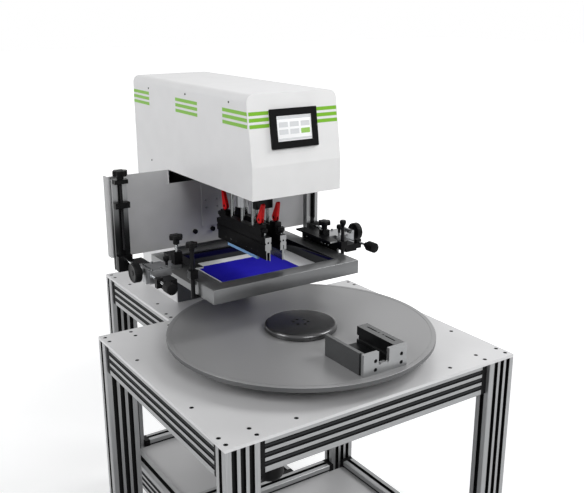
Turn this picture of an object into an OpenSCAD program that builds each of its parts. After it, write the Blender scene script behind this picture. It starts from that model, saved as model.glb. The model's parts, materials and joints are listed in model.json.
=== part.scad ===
// Semi-automatic screen printing machine on two aluminium profile tables.
// A rotary table carries the product jig, the head above it moves the squeegee and the flood bar.
// Origin: floor level, centre of the footprint. +X to the operator's right, +Y to the rear.

/* [Tables] */
// Width of the front table
table_w = 900; // [860:5:1000]
// Depth of the front table
front_table_d = 745; // [700:5:800]
// Width of the rear table
rear_table_w = 450; // [420:5:520]
// Depth of the rear table
rear_table_d = 520; // [480:5:600]
// Height of the table tops above the floor
table_h = 850; // [800:5:950]
// Thickness of the table plates
plate_t = 8; // [6:0.5:10]
// Height of the levelling feet
foot_h = 55; // [45:1:70]
// Radius of a foot pad
foot_r = 22; // [16:1:22]
// Height of the lower beams above the floor
lower_beam_h = 95; // [80:5:140]
// Thickness of the shelf plates
shelf_t = 6; // [4:0.5:8]

/* [Profile] */
// Wide side of the profile
profile_w = 90; // [88:1:100]
// Narrow side of the profile
profile_d = 45; // [42:1:50]
// Width of a slot mouth
slot_w = 13.5; // [8:0.5:14.5]
// Distance between slots on the wide side
slot_pitch = 22.5; // [21:0.5:24]
// Thickness of the lip over a slot
slot_lip = 4; // [3:0.5:5]
// Width of the slot cavity
cavity_w = 17.5; // [15:0.5:18.5]
// Depth of the slot cavity
cavity_d = 6; // [4:0.5:8]
// Width of the black joint blocks at the beam ends
joint_w = 18; // [12:1:24]
// Set back of the front and rear beams from the leg faces
cross_inset = 11; // [4:1:14]
// Set back of the side beams from the leg faces
side_inset = 6; // [3:1:12]

/* [Turntable] */
// Distance of the spindle from the front edge
spindle_from_front = 372.5; // [365:0.5:385]
// Radius of the disc
disc_r = 371; // [320:1:372]
// Thickness of the disc
disc_t = 12; // [8:1:16]
// Space between the table and the disc
disc_gap = 40; // [34:1:44]
// Radius of the hub cap
hub_r = 101; // [80:1:110]
// Height of the hub cap
hub_h = 18; // [16:1:24]
// Radius of the spindle shaft
shaft_r = 20; // [16:1:24]
// Radial clearance of the spindle in its housing
shaft_clear = 0.05; // [0.02:0.01:0.1]
// Side of the square gearbox
gearbox_w = 130; // [120:5:160]
// Height of the gearbox
gearbox_h = 170; // [150:5:200]
// Radius of the drive motor
motor_r = 42; // [38:1:46]
// Length of the drive motor
motor_l = 250; // [200:5:270]

/* [Product jig] */
// Width of the jig
jig_w = 137; // [126:1:150]
// Length of the jig behind its end plate
jig_l = 148; // [140:1:170]
// Height of the jig
jig_h = 58; // [50:1:62]
// Thickness of the end plate
jig_end_t = 10; // [8:1:12]
// Width of the U slot in the end plate
jig_slot_w = 33; // [24:1:36]
// Height of the slot's floor above the disc
jig_slot_z = 22; // [16:1:26]
// Thickness of the left wall
jig_wall_t = 10; // [8:1:14]
// Width of the right side block
jig_block_w = 34; // [28:1:38]
// Thickness of the jig's floor
jig_floor_t = 12; // [8:1:14]
// Sideways place of the jig on the disc
jig_x = 15.5; // [-10:0.5:20]
// Distance of the jig's front from the rim of the disc
jig_rim = 26; // [18:1:30]

/* [Column and head] */
// Distance of the column from the front edge
column_from_front = 868; // [862:1:880]
// Width of the column and the head
head_w = 280; // [270:2:300]
// Depth of the column
column_d = 258; // [240:2:280]
// Height of the head's underside above the table
head_z = 427; // [415:1:440]
// Height of the head
head_h = 269; // [255:1:290]
// Distance of the head's front from the front edge
head_from_front = 389; // [380:1:400]
// Height of the upright part of the head's front
crease_h = 86; // [70:1:100]
// Backward lean of the upper front
lean = 27; // [15:1:35]
// Radius of the head's top edges
head_r = 22; // [14:1:30]
// Thickness of the sheet metal
sheet_t = 2; // [1.5:0.5:2.5]
// Drop of the head's rear part below its front part
rear_drop = 46; // [36:1:56]
// Start of that drop behind the head's front
drop_from_front = 504; // [490:1:515]
// Gap between separate covers
cover_gap = 0.5; // [0.3:0.1:1]
// Side of the square post in the column
post_w = 120; // [100:5:130]

/* [Touch panel] */
// Width of the panel's bezel
bezel_w = 145; // [130:1:160]
// Height of the panel's bezel
bezel_h = 103; // [95:1:110]
// Thickness of the bezel
bezel_t = 7; // [5:0.5:10]
// Width of the screen
screen_w = 108; // [96:1:114]
// Height of the screen
screen_h = 66; // [58:1:70]
// Height of the panel's centre above the crease
panel_up = 93; // [85:1:100]
// Sideways place of the panel's centre
panel_x = -5; // [-12:1:12]

/* [Screen frame] */
// Width of the frame
frame_w = 482; // [470:2:490]
// Depth of the frame
frame_d = 395; // [390:1:398]
// Height of the frame's bars
frame_h = 40; // [35:1:42]
// Width of the frame's bars
frame_bar = 50; // [44:1:52]
// Wall of the frame's bars
frame_wall = 3; // [2:0.5:4]
// Height of the frame's underside above the table
frame_z = 152.5; // [151:0.5:156]
// Distance of the frame from the front edge
frame_from_front = 426; // [424:1:430]
// Thickness of the stretched mesh
mesh_t = 0.5; // [0.3:0.1:0.8]

/* [Frame holders] */
// Width of a vertical rail
rail_w = 44; // [40:1:48]
// Thickness of a vertical rail
rail_t = 22; // [18:1:26]
// Distance of a rail's centre from the machine's centre
rail_x = 336; // [333:1:338]
// Height of a rail's lower end above the table
rail_z = 165; // [160:1:175]
// Length of a rail
rail_l = 272; // [265:1:285]
// Width of a rail's slot
rail_slot_w = 13; // [12:0.5:15]
// Distance of the rails' front from the front edge
rail_from_front = 800; // [796:1:804]
// Height of the back plate above the table
back_plate_z = 200; // [200:1:210]
// Height of the back plate
back_plate_h = 242; // [236:1:250]
// Depth of the back plate's flanges
flange_d = 26; // [22:1:32]
// Free play between sliding pieces
slide_clear = 0.3; // [0.25:0.05:0.4]
// Radius of the adjusting screws
screw_r = 4; // [3:0.5:4.5]
// Radial clearance of the adjusting screws
screw_clear = 0.08; // [0.05:0.01:0.1]
// Radius of the height star knobs
star_r = 22; // [18:1:24]
// Length of the clamp channels
clamp_l = 185; // [170:5:200]
// Radius of the handwheels
wheel_r = 27.5; // [22:0.5:28]
// Radius of the knurled knobs
knurl_r = 15.5; // [12:0.5:17]

/* [Print unit] */
// Distance from the squeegee to the flood bar
unit_pitch = 50; // [48:1:56]
// Sideways place of the unit's centre at rest
unit_x = -10; // [-12:1:-6]
// Length of the two holders
holder_l = 280; // [260:2:282]
// Width of a holder's upper part
holder_w = 20; // [18:1:24]
// Height of a holder's upper part
holder_h = 37; // [32:1:40]
// Height of the holders' tops above the table
holder_z = 291; // [289:1:296]
// Width of the squeegee holder's jaw
jaw_w = 13; // [12:0.5:14]
// Height of the squeegee holder's jaw
jaw_h = 32; // [30:1:34]
// Length of the squeegee blade
blade_l = 170; // [150:5:180]
// Thickness of the squeegee blade
blade_t = 8; // [6:0.5:9]
// Part of the blade that stands out of its jaw
blade_out = 6; // [4:0.5:6]
// Thickness of the flood bar's blade
flood_t = 5; // [3:0.5:6]
// Radius of the guide rods
rod_r = 6; // [5:0.5:7]
// Distance of the guide rods from the unit's middle
rod_y = 60; // [50:1:66]
// Radius of the lifting cylinders
cylinder_r = 18; // [15:1:20]
// Distance of the clamp levers from the unit's middle
lever_y = 99; // [96:1:102]
// Length of a clamp lever
lever_l = 50; // [44:1:54]

/* [Hidden] */
$fn = 48;
eps = 0.01;

// Places along the machine
front_y = -(front_table_d + rear_table_d) / 2;
rear_y = front_y + front_table_d;
disc_y = front_y + spindle_from_front;
top_z = table_h;
under_z = table_h - plate_t;
disc_z = top_z + disc_gap;
disc_top = disc_z + disc_t;
column_y = front_y + column_from_front;
head_y = front_y + head_from_front;
head_d = column_y + column_d - head_y;
frame_y = front_y + frame_from_front;
unit_y = frame_y + frame_d / 2;
rail_y = front_y + rail_from_front;
plate_y = rail_y + rail_t;
jig_y = disc_y - disc_r + jig_rim;
profile_r = 3;
core_r = 5;

// Rounded rectangle drawn with true arcs, centred
module round_rect(w, h, r) {
  square([w - 2 * r, h], center = true);
  square([w, h - 2 * r], center = true);
  for (sx = [-1, 1], sy = [-1, 1])
    translate([sx * (w / 2 - r), sy * (h / 2 - r)]) circle(r);
}

// Box between two corners
module span(a, b) {
  translate(a) cube(b - a);
}

// Cylinder along X, Y or Z from a start point
module rod_x(p, r, l) {
  translate(p) rotate([0, 90, 0]) cylinder(r = r, h = l);
}
module rod_along_y(p, r, l) {
  translate(p) rotate([-90, 0, 0]) cylinder(r = r, h = l);
}
module rod_z(p, r, l) {
  translate(p) cylinder(r = r, h = l);
}

// Aluminium profile
module t_slot() {
  translate([-slot_w / 2, -slot_lip - eps]) square([slot_w, slot_lip + 1]);
  translate([-cavity_w / 2, -slot_lip - cavity_d]) square([cavity_w, cavity_d]);
}
module profile_2d() {
  difference() {
    round_rect(profile_w, profile_d, profile_r);
    for (i = [-1:1]) {
      translate([i * slot_pitch, profile_d / 2]) t_slot();
      translate([i * slot_pitch, -profile_d / 2]) rotate(180) t_slot();
    }
    translate([profile_w / 2, 0]) rotate(-90) t_slot();
    translate([-profile_w / 2, 0]) rotate(90) t_slot();
    circle(core_r);
  }
}
module leg() {
  translate([0, 0, foot_h]) linear_extrude(under_z - foot_h) profile_2d();
}
module beam_x(x0, x1, y, z) {
  translate([x0, y, z]) rotate([90, 0, 90]) linear_extrude(x1 - x0) rotate(90) profile_2d();
}
module beam_y(x, y0, y1, z) {
  translate([x, y1, z]) rotate([90, 0, 0]) linear_extrude(y1 - y0) rotate(90) profile_2d();
}
// The rear table is hung on the front one, so it has legs at its rear end only
module frame_legs() {
  for (sx = [-1, 1]) {
    for (y = [front_y + profile_d / 2, rear_y - profile_d / 2])
      translate([sx * (table_w - profile_w) / 2, y, 0]) children();
    translate([sx * (rear_table_w - profile_w) / 2, -front_y - profile_d / 2, 0]) children();
  }
}
function front_half(w, hung) = hung ? w / 2 - side_inset - profile_d : w / 2 - profile_w;
function side_start(y0, hung) = hung ? y0 - cross_inset : y0 + profile_d;
module frame_beams(w, y0, d, hung) {
  front_x = front_half(w, hung) - joint_w;
  in_x = w / 2 - profile_w - joint_w;
  for (z = [under_z - profile_w / 2, lower_beam_h + profile_w / 2]) {
    beam_x(-front_x, front_x, y0 + cross_inset + profile_d / 2, z);
    beam_x(-in_x, in_x, y0 + d - cross_inset - profile_d / 2, z);
    for (sx = [-1, 1])
      beam_y(sx * (w / 2 - side_inset - profile_d / 2),
             side_start(y0, hung) + joint_w, y0 + d - profile_d - joint_w, z);
  }
}
module frame_blocks(w, y0, d, hung) {
  size = [joint_w, profile_d - 2, profile_w - 1];
  for (z = [under_z - profile_w / 2, lower_beam_h + profile_w / 2], sx = [-1, 1]) {
    translate([sx * (front_half(w, hung) - joint_w / 2), y0 + cross_inset + profile_d / 2, z])
      cube(size, center = true);
    translate([sx * (w / 2 - profile_w - joint_w / 2), y0 + d - cross_inset - profile_d / 2, z])
      cube(size, center = true);
    for (y = [side_start(y0, hung) + joint_w / 2, y0 + d - profile_d - joint_w / 2])
      translate([sx * (w / 2 - side_inset - profile_d / 2), y, z])
        cube([size[1], size[0], size[2]], center = true);
  }
}

module table_legs() {
  color("silver") frame_legs() leg();
}
module table_beams() {
  color("lightgray") {
    frame_beams(table_w, front_y, front_table_d, false);
    frame_beams(rear_table_w, rear_y, rear_table_d, true);
  }
}
module joint_blocks() {
  color("#202022") {
    frame_blocks(table_w, front_y, front_table_d, false);
    frame_blocks(rear_table_w, rear_y, rear_table_d, true);
  }
}

// Screws of a table plate: four at each corner, two along each side
screw_side = 13.5;
screw_side_far = 92;
screw_end = 20;
screw_end_far = 53;
screw_head_r = 5.5;
screw_shank_r = 3.5;
screw_head_h = 4;
function corner_points(w, d) = [for (sx = [-1, 1], sy = [-1, 1],
  x = [screw_side, screw_side_far], y = [screw_end, screw_end_far])
    [sx * (w / 2 - x), d / 2 + sy * (d / 2 - y)]];
function side_points(w, d) = [for (sx = [-1, 1], k = [-1, 1])
  [sx * (w / 2 - side_inset - profile_d / 2), d / 2 + k * d * 0.215]];
function end_points(w, d) = [for (sy = [-1, 1], k = [-1, 1])
  [k * w * 0.27, d / 2 + sy * (d / 2 - cross_inset - profile_d / 2)]];
function all_points(w, d) = concat(corner_points(w, d), side_points(w, d), end_points(w, d));

module plate_holes(w, y0, d) {
  for (p = all_points(w, d)) {
    translate([p[0], y0 + p[1], under_z - 1]) cylinder(r = screw_shank_r + 0.2, h = plate_t);
    translate([p[0], y0 + p[1], top_z - screw_head_h - 0.2])
      cylinder(r = screw_head_r + 0.2, h = screw_head_h + 1);
  }
}
module one_screw(r_head, h_head, r_shank, h_shank) {
  difference() {
    cylinder(r = r_head, h = h_head);
    translate([0, 0, h_head * 0.4]) cylinder(r = r_head * 0.5, h = h_head, $fn = 6);
  }
  translate([0, 0, -h_shank]) cylinder(r = r_shank, h = h_shank + eps);
}

module screw_cap(r, h) {
  difference() {
    cylinder(r = r, h = h);
    translate([0, 0, h * 0.4]) cylinder(r = r * 0.5, h = h, $fn = 6);
  }
}
plate_joint = 0.3;
module front_plate() {
  difference() {
    translate([0, front_y + (front_table_d - plate_joint) / 2, under_z])
      linear_extrude(plate_t) round_rect(table_w, front_table_d - plate_joint, 3);
    plate_holes(table_w, front_y, front_table_d);
    rod_z([0, disc_y, under_z - 1], housing_r + 2, plate_t + 2);
  }
}
module rear_plate() {
  difference() {
    translate([0, rear_y + rear_table_d / 2, under_z])
      linear_extrude(plate_t) round_rect(rear_table_w, rear_table_d, 3);
    plate_holes(rear_table_w, rear_y, rear_table_d);
  }
}
module table_screws() {
  color("dimgray") for (t = [[table_w, front_y, front_table_d], [rear_table_w, rear_y, rear_table_d]])
    for (p = all_points(t[0], t[2]))
      translate([p[0], t[1] + p[1], top_z - screw_head_h - 0.2])
        one_screw(screw_head_r, screw_head_h, screw_shank_r, plate_t - screw_head_h - 0.2);
}

// Shelf: a plate whose four edges lie in the upper inner slots of the lower beams
module shelf(w, y0, d) {
  z = lower_beam_h + profile_w / 2 + slot_pitch - slot_w / 2;
  x_in = w / 2 - side_inset - profile_d;
  y_in = cross_inset + profile_d;
  x_block = w / 2 - profile_w - joint_w - 1;
  y_block = profile_d + joint_w + 1;
  tongue = slot_lip - 1;
  span([-x_in + 1, y0 + y_in + 1, z], [x_in - 1, y0 + d - y_in - 1, z + shelf_t]);
  span([-x_block, y0 + y_in - tongue, z], [x_block, y0 + d - y_in + tongue, z + shelf_t]);
  span([-x_in - tongue, y0 + y_block, z], [x_in + tongue, y0 + d - y_block, z + shelf_t]);
}
module table_plates() {
  color("gainsboro") {
    front_plate();
    rear_plate();
    shelf(table_w, front_y, front_table_d);
    shelf(rear_table_w, rear_y, rear_table_d);
  }
}

module foot() {
  rotate_extrude() polygon([[0, 0], [foot_r, 0], [foot_r, 5], [foot_r * 0.5, 12], [7, 16], [0, 16]]);
  cylinder(r = 6, h = foot_h - 9);
  translate([0, 0, foot_h - 10]) cylinder(r = 11, h = 10, $fn = 6);
}
module levelling_feet() {
  color("#1c1c1e") frame_legs() foot();
}

// Index drive under the front table
housing_r = shaft_r + 24;
housing_top = top_z + disc_gap - 20;
shaft_depth = 110;
reducer_w = 90;
reducer_d = 92;
motor_x = -gearbox_w / 2 - motor_r - 0.5;
motor_top = under_z - gearbox_h + 50;
module index_gearbox() {
  color("#3a3c40") difference() {
    union() {
      translate([0, disc_y, under_z - gearbox_h])
        linear_extrude(gearbox_h) round_rect(gearbox_w, gearbox_w, 10);
      rod_z([0, disc_y, under_z - eps], housing_r, housing_top - under_z);
      translate([motor_x, disc_y, motor_top])
        linear_extrude(reducer_w) round_rect(reducer_d, reducer_w, 6);
    }
    rod_z([0, disc_y, under_z - shaft_depth], shaft_r + shaft_clear, shaft_depth + 100);
  }
}
module index_motor() {
  color("#17181a") {
    translate([motor_x, disc_y, motor_top - motor_l]) rotate_extrude() polygon([[0, 0],
      [motor_r * 0.7, 0], [motor_r * 0.93, 4], [motor_r, 14], [motor_r, 60], [motor_r - 3, 62],
      [motor_r - 3, 66], [motor_r, 68], [motor_r, motor_l - 10], [motor_r * 0.9, motor_l - 8],
      [motor_r * 0.9, motor_l], [0, motor_l]]);
    span([motor_x + motor_r - 2, disc_y - 30, motor_top - motor_l + 90],
         [motor_x + motor_r + 64, disc_y + 30, motor_top - motor_l + 160]);
  }
}
module turntable_spindle() {
  color("silver") {
    rod_z([0, disc_y, under_z - shaft_depth + 2], shaft_r, disc_z - under_z + shaft_depth - 2);
    rod_z([0, disc_y, disc_z - 15], hub_r * 0.7, 15);
  }
}
module turntable_disc() {
  c = 1;
  g = 0.6;
  color("gray") translate([0, disc_y, disc_z]) rotate_extrude($fn = 128) polygon([[0, 0],
    [disc_r - c, 0], [disc_r, c], [disc_r, disc_t - c], [disc_r - c, disc_t],
    [disc_r - 12, disc_t], [disc_r - 12, disc_t - g], [disc_r - 13.5, disc_t - g],
    [disc_r - 13.5, disc_t], [0, disc_t]]);
}
hub_hole_pcd = 40;
hub_hole_r = 3.25;
hub_edge = 9;
hub_lip = 3;
module hub_points() {
  for (a = [30:60:330]) rotate(a) translate([hub_hole_pcd / 2, 0, 0]) children();
}
module hub_cap() {
  color("dimgray") translate([0, disc_y, disc_top]) difference() {
    rotate_extrude($fn = 96) difference() {
      union() {
        square([hub_r - hub_edge, hub_h]);
        square([hub_r, hub_h - hub_edge]);
        translate([hub_r - hub_edge, hub_h - hub_edge]) circle(hub_edge);
      }
      translate([hub_r - 5, -1]) square([6, hub_lip + 1]);
    }
    hub_points() translate([0, 0, hub_h - 14]) cylinder(r = hub_hole_r, h = 15);
  }
}

// Product jig: a floor with a thin left wall, a heavy right block and a slotted end plate
jig_bolt_r = 3;
jig_bolt_head_r = 5;
jig_left = jig_x - jig_w / 2;
jig_right = jig_x + jig_w / 2;
jig_body_y = jig_y + jig_end_t;
jig_rebate = 8;
jig_slot_x = jig_x - 5.5;
module jig_body() {
  color("silver") difference() {
    union() {
      span([jig_left, jig_body_y, disc_top],
           [jig_right - jig_block_w, jig_body_y + jig_l, disc_top + jig_floor_t]);
      span([jig_left, jig_body_y, disc_top],
           [jig_left + jig_wall_t, jig_body_y + jig_l, disc_top + jig_h]);
    }
    span([jig_left - 1, jig_body_y - 1, disc_top - 1],
         [jig_left + 4, jig_body_y + jig_rebate, disc_top + jig_h + 1]);
  }
}
module jig_side_block() {
  x0 = jig_right - jig_block_w;
  color("darkgray") difference() {
    span([x0, jig_body_y, disc_top], [jig_right, jig_body_y + jig_l, disc_top + jig_h]);
    translate([x0 + jig_block_w * 0.55, jig_body_y, disc_top + jig_h - 8]) linear_extrude(9)
      for (k = [0.26, 0.74]) {
        translate([0, jig_l * k]) square([4.4, jig_l * 0.24], center = true);
        for (s = [-1, 1]) translate([0, jig_l * (k + s * 0.12)]) circle(2.2);
        translate([0, jig_l * (k > 0.5 ? k - 0.18 : k + 0.18)]) circle(2.6);
      }
    span([x0 - 1, jig_body_y + 18, disc_top + jig_floor_t + 10],
         [x0 + 6, jig_body_y + jig_l + 1, disc_top + jig_floor_t + 22]);
  }
}
jig_bolts = [for (x = [jig_left + jig_w * 0.27, jig_right - jig_w * 0.13], z = [12, 35]) [x, z]];
module jig_end_plate() {
  color("silver") difference() {
    span([jig_left, jig_y, disc_top + 0.3], [jig_right, jig_y + jig_end_t - 0.2, disc_top + jig_h]);
    span([jig_slot_x - jig_slot_w / 2, jig_y - 1, disc_top + jig_slot_z + 4],
         [jig_slot_x + jig_slot_w / 2, jig_y + jig_end_t + 1, disc_top + jig_h + 1]);
    for (s = [-1, 1])
      rod_along_y([jig_slot_x + s * (jig_slot_w / 2 - 4), jig_y - 1, disc_top + jig_slot_z + 4],
                  4, jig_end_t + 2);
    for (p = jig_bolts) {
      rod_along_y([p[0], jig_y - 1, disc_top + p[1]], jig_bolt_r + 0.2, jig_end_t + 2);
      rod_along_y([p[0], jig_y - 1, disc_top + p[1]], jig_bolt_head_r + 0.2, 6);
    }
  }
}
module jig_screws() {
  color("#151515") for (p = jig_bolts)
    translate([p[0], jig_y + 4.8, disc_top + p[1]]) rotate([90, 0, 0])
      one_screw(jig_bolt_head_r, 3.6, jig_bolt_r, jig_end_t - 5.2);
}

// Column and head
column_h = head_z - rear_drop - cover_gap;
module column_cover() {
  w = head_w;
  color("white") translate([0, column_y + column_d / 2, top_z]) difference() {
    linear_extrude(column_h) round_rect(w, column_d, 4);
    translate([0, 0, -1]) linear_extrude(column_h + 2)
      round_rect(w - 2 * sheet_t, column_d - 2 * sheet_t, 2);
  }
}

// Wide sheet that carries the two rails: flanged at both ends, cut away under the head
plate_half = rail_x + rail_w / 2 + 7;
bend_r = 8;
cut_half = head_w / 2 + 34;
cut_z = 400;
rib_x = 100;
rib_w = 40;
module back_plate_plan() {
  difference() {
    union() {
      translate([-plate_half + bend_r, 0]) square([2 * (plate_half - bend_r), sheet_t + 1]);
      for (s = [-1, 1]) {
        translate([s * (plate_half - bend_r), bend_r]) circle(bend_r);
        translate([s > 0 ? plate_half - sheet_t - 1 : -plate_half, bend_r])
          square([sheet_t + 1, flange_d - bend_r]);
      }
    }
    for (s = [-1, 1])
      translate([s * (plate_half - bend_r), bend_r]) circle(bend_r - sheet_t - 1);
    translate([-plate_half + sheet_t + 1, sheet_t + 1])
      square([2 * (plate_half - sheet_t - 1), flange_d]);
  }
}
module back_plate() {
  color("darkgray") {
    difference() {
      translate([0, plate_y, top_z + back_plate_z]) linear_extrude(back_plate_h) back_plate_plan();
      span([-cut_half, plate_y - 1, top_z + cut_z],
           [cut_half, plate_y + sheet_t + 2, top_z + back_plate_z + back_plate_h + 1]);
      accessory_holes();
    }
    for (s = [-1, 1])
      translate([s * rib_x, 0, 0]) difference() {
        span([-rib_w / 2, plate_y + sheet_t + 1 - eps, top_z + back_plate_z + 20],
             [rib_w / 2, column_y, top_z + back_plate_z + 170]);
        span([-rib_w / 2 + 3, plate_y + sheet_t + 4, top_z + back_plate_z + 19],
             [rib_w / 2 - 3, column_y - 3, top_z + back_plate_z + 171]);
      }
  }
}
centre_w = 132;
centre_z = 252;
centre_h = 140;
// Four open tapped holes for an accessory, in the centre plate and the sheet behind it
acc_x = -31.5;
acc_z = 322;
acc_dx = 39;
acc_dz = 24;
acc_r = 2.5;
module accessory_holes() {
  for (sx = [-1, 1], sz = [-1, 1])
    rod_along_y([acc_x + sx * acc_dx / 2, plate_y - 5, top_z + acc_z + sz * acc_dz / 2], acc_r, 12);
}
module centre_plate() {
  color("gray") difference() {
    span([-centre_w / 2, plate_y - 2.5, top_z + centre_z],
         [centre_w / 2, plate_y, top_z + centre_z + centre_h]);
    accessory_holes();
  }
}

// Vertical rails for the frame holders, with the bearing block of the height screw on top
screw_y = rail_y - 9;
bracket_h = 12;
module rail_2d() {
  difference() {
    translate([-rail_w / 2, 0]) square([rail_w, rail_t]);
    translate([-rail_slot_w / 2, -1]) square([rail_slot_w, 9]);
    for (s = [-1, 1])
      translate([s * (rail_w / 2 + 1) - (s > 0 ? 5 : 0), rail_t / 2 - 3]) square([5, 6]);
  }
}
module side_rail() {
  translate([rail_x, rail_y, top_z + rail_z]) linear_extrude(rail_l) rail_2d();
  difference() {
    span([rail_x - 20, rail_y - 18, top_z + rail_z + rail_l - bracket_h],
         [rail_x + 20, rail_y, top_z + rail_z + rail_l]);
    rod_z([rail_x, screw_y, top_z + rail_z + rail_l - bracket_h - 1],
          screw_r + screw_clear, bracket_h + 2);
  }
}
module both_sides() {
  children();
  mirror([1, 0, 0]) children();
}
module side_rails() {
  color("silver") both_sides() side_rail();
}

// Head: inner beam, shell and front panel
beam_half = head_w / 2 - 14;
beam_up = 44;
beam_h = 126;
beam_low = top_z + head_z + beam_up;
beam_top = beam_low + beam_h;
rail_row = 104;
stroke_rail_h = 15;
head_frame_front = 34;
side_plate_t = 8;
cross_w = 28;
cross_h = 24;
post_wall = 8;
module inner_frame() {
  y0 = head_y + head_frame_front;
  y_post = column_y + column_d / 2;
  y1 = y_post - post_w / 2;
  color("#8a8d91") {
    difference() {
      translate([0, y_post, top_z]) linear_extrude(beam_top - top_z) round_rect(post_w, post_w, 6);
      translate([0, y_post, top_z + 12])
        linear_extrude(beam_top - top_z) square(post_w - 2 * post_wall, center = true);
    }
    translate([0, y_post, top_z]) linear_extrude(12) round_rect(head_w - 20, column_d - 20, 5);
    for (s = [-1, 1]) {
      span([s > 0 ? beam_half - side_plate_t : -beam_half, y0, beam_low],
           [s > 0 ? beam_half : -beam_half + side_plate_t, y1 + post_w, beam_top]);
      span([-beam_half, unit_y + s * rail_row - cross_w / 2, beam_low],
           [beam_half, unit_y + s * rail_row + cross_w / 2, beam_low + cross_h]);
    }
    span([-beam_half, y0, beam_top - 10], [beam_half, y1 + eps, beam_top]);
    span([-beam_half, y0, beam_low], [beam_half, y0 + 10, beam_top]);
    span([-beam_half, y1 - 12, beam_low], [beam_half, y1 + eps, beam_top]);
  }
}
function head_side(t) = [
  [head_y + t, head_z],
  [head_y + t, head_z + crease_h],
  [head_y + lean + t, head_z + head_h - t],
  [head_y + head_d - t, head_z + head_h - t],
  [head_y + head_d - t, head_z - rear_drop],
  [head_y + drop_from_front + t, head_z - rear_drop],
  [head_y + drop_from_front + t, head_z]];
module head_solid(t, low) {
  w = head_w - 2 * t;
  r = head_r - t;
  top = top_z + head_z + head_h - t;
  intersection() {
    translate([-w / 2, 0, top_z]) rotate([90, 0, 90]) linear_extrude(w) polygon(head_side(t));
    translate([0, head_y + head_d + 1, 0]) rotate([90, 0, 0]) linear_extrude(head_d + 2) {
      translate([-w / 2, top_z + head_z - rear_drop - low])
        square([w, head_h + rear_drop + low - r - t]);
      translate([-w / 2 + r, top - 2 * r]) square([w - 2 * r, 2 * r]);
      for (s = [-1, 1]) translate([s * (w / 2 - r), top - r]) circle(r);
    }
  }
}
panel_t = 3;
module head_cover() {
  color("white") difference() {
    head_solid(0, 0);
    head_solid(sheet_t, 0);
    span([-head_w, head_y - 1, top_z + head_z - 1],
         [head_w, head_y + panel_t + cover_gap, top_z + head_z + crease_h]);
    translate([-head_w, 0, top_z]) rotate([90, 0, 90]) linear_extrude(2 * head_w)
      polygon([[head_y - 1, head_z + crease_h - eps],
               [head_y + panel_t + cover_gap, head_z + crease_h - eps],
               [head_y + lean + panel_t + cover_gap, head_z + head_h + 1],
               [head_y - 1, head_z + head_h + 1]]);
    span([-head_w / 2 + sheet_t, head_y, top_z + head_z - 1],
         [head_w / 2 - sheet_t, head_y + head_d - sheet_t, top_z + head_z + 1]);
    span([-head_w / 2 + sheet_t, head_y + drop_from_front - 1, top_z + head_z - rear_drop - 1],
         [head_w / 2 - sheet_t, head_y + head_d - sheet_t, top_z + head_z + 2]);
  }
}
module head_front_panel() {
  color("whitesmoke") intersection() {
    head_solid(0, 0);
    translate([-head_w, 0, top_z]) rotate([90, 0, 90]) linear_extrude(2 * head_w)
      polygon([[head_y - 1, head_z],
               [head_y + panel_t, head_z],
               [head_y + panel_t, head_z + crease_h],
               [head_y + lean + panel_t, head_z + head_h],
               [head_y + lean - 1, head_z + head_h],
               [head_y - 1, head_z + crease_h]]);
  }
}
side_screws = [[115, 243], [367, 241], [619, 237], [620, 12]];
module cover_fittings() {
  color("gray") {
    for (p = side_screws, s = [-1, 1])
      translate([s * head_w / 2, head_y + p[0], top_z + head_z + p[1]]) rotate([0, s * 90, 0])
        screw_cap(2.6, 1.2);
    for (x = [-91, -30])
      translate([x, plate_y, top_z + centre_z - 12])
        rotate([90, 0, 0]) rotate_extrude() polygon([[0, 0], [7.5, 0], [7.5, 6], [6, 8], [0, 8]]);
  }
}

// Touch panel on the leaning front
lean_a = atan(lean / (head_h - crease_h));
module on_lean() {
  translate([0, head_y, top_z + head_z + crease_h]) rotate([-lean_a, 0, 0])
    translate([panel_x, 0, panel_up]) rotate([90, 0, 0]) children();
}
screen_sink = 1.5;
module panel_bezel() {
  color("#1b1b1d") on_lean() difference() {
    linear_extrude(bezel_t) round_rect(bezel_w, bezel_h, 3);
    translate([0, 0, bezel_t - screen_sink - 2]) linear_extrude(10)
      square([screen_w, screen_h], center = true);
  }
}
module touch_screen() {
  color("white") on_lean() translate([0, 0, bezel_t - screen_sink - 2])
    linear_extrude(2) square([screen_w - 0.4, screen_h - 0.4], center = true);
}

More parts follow.
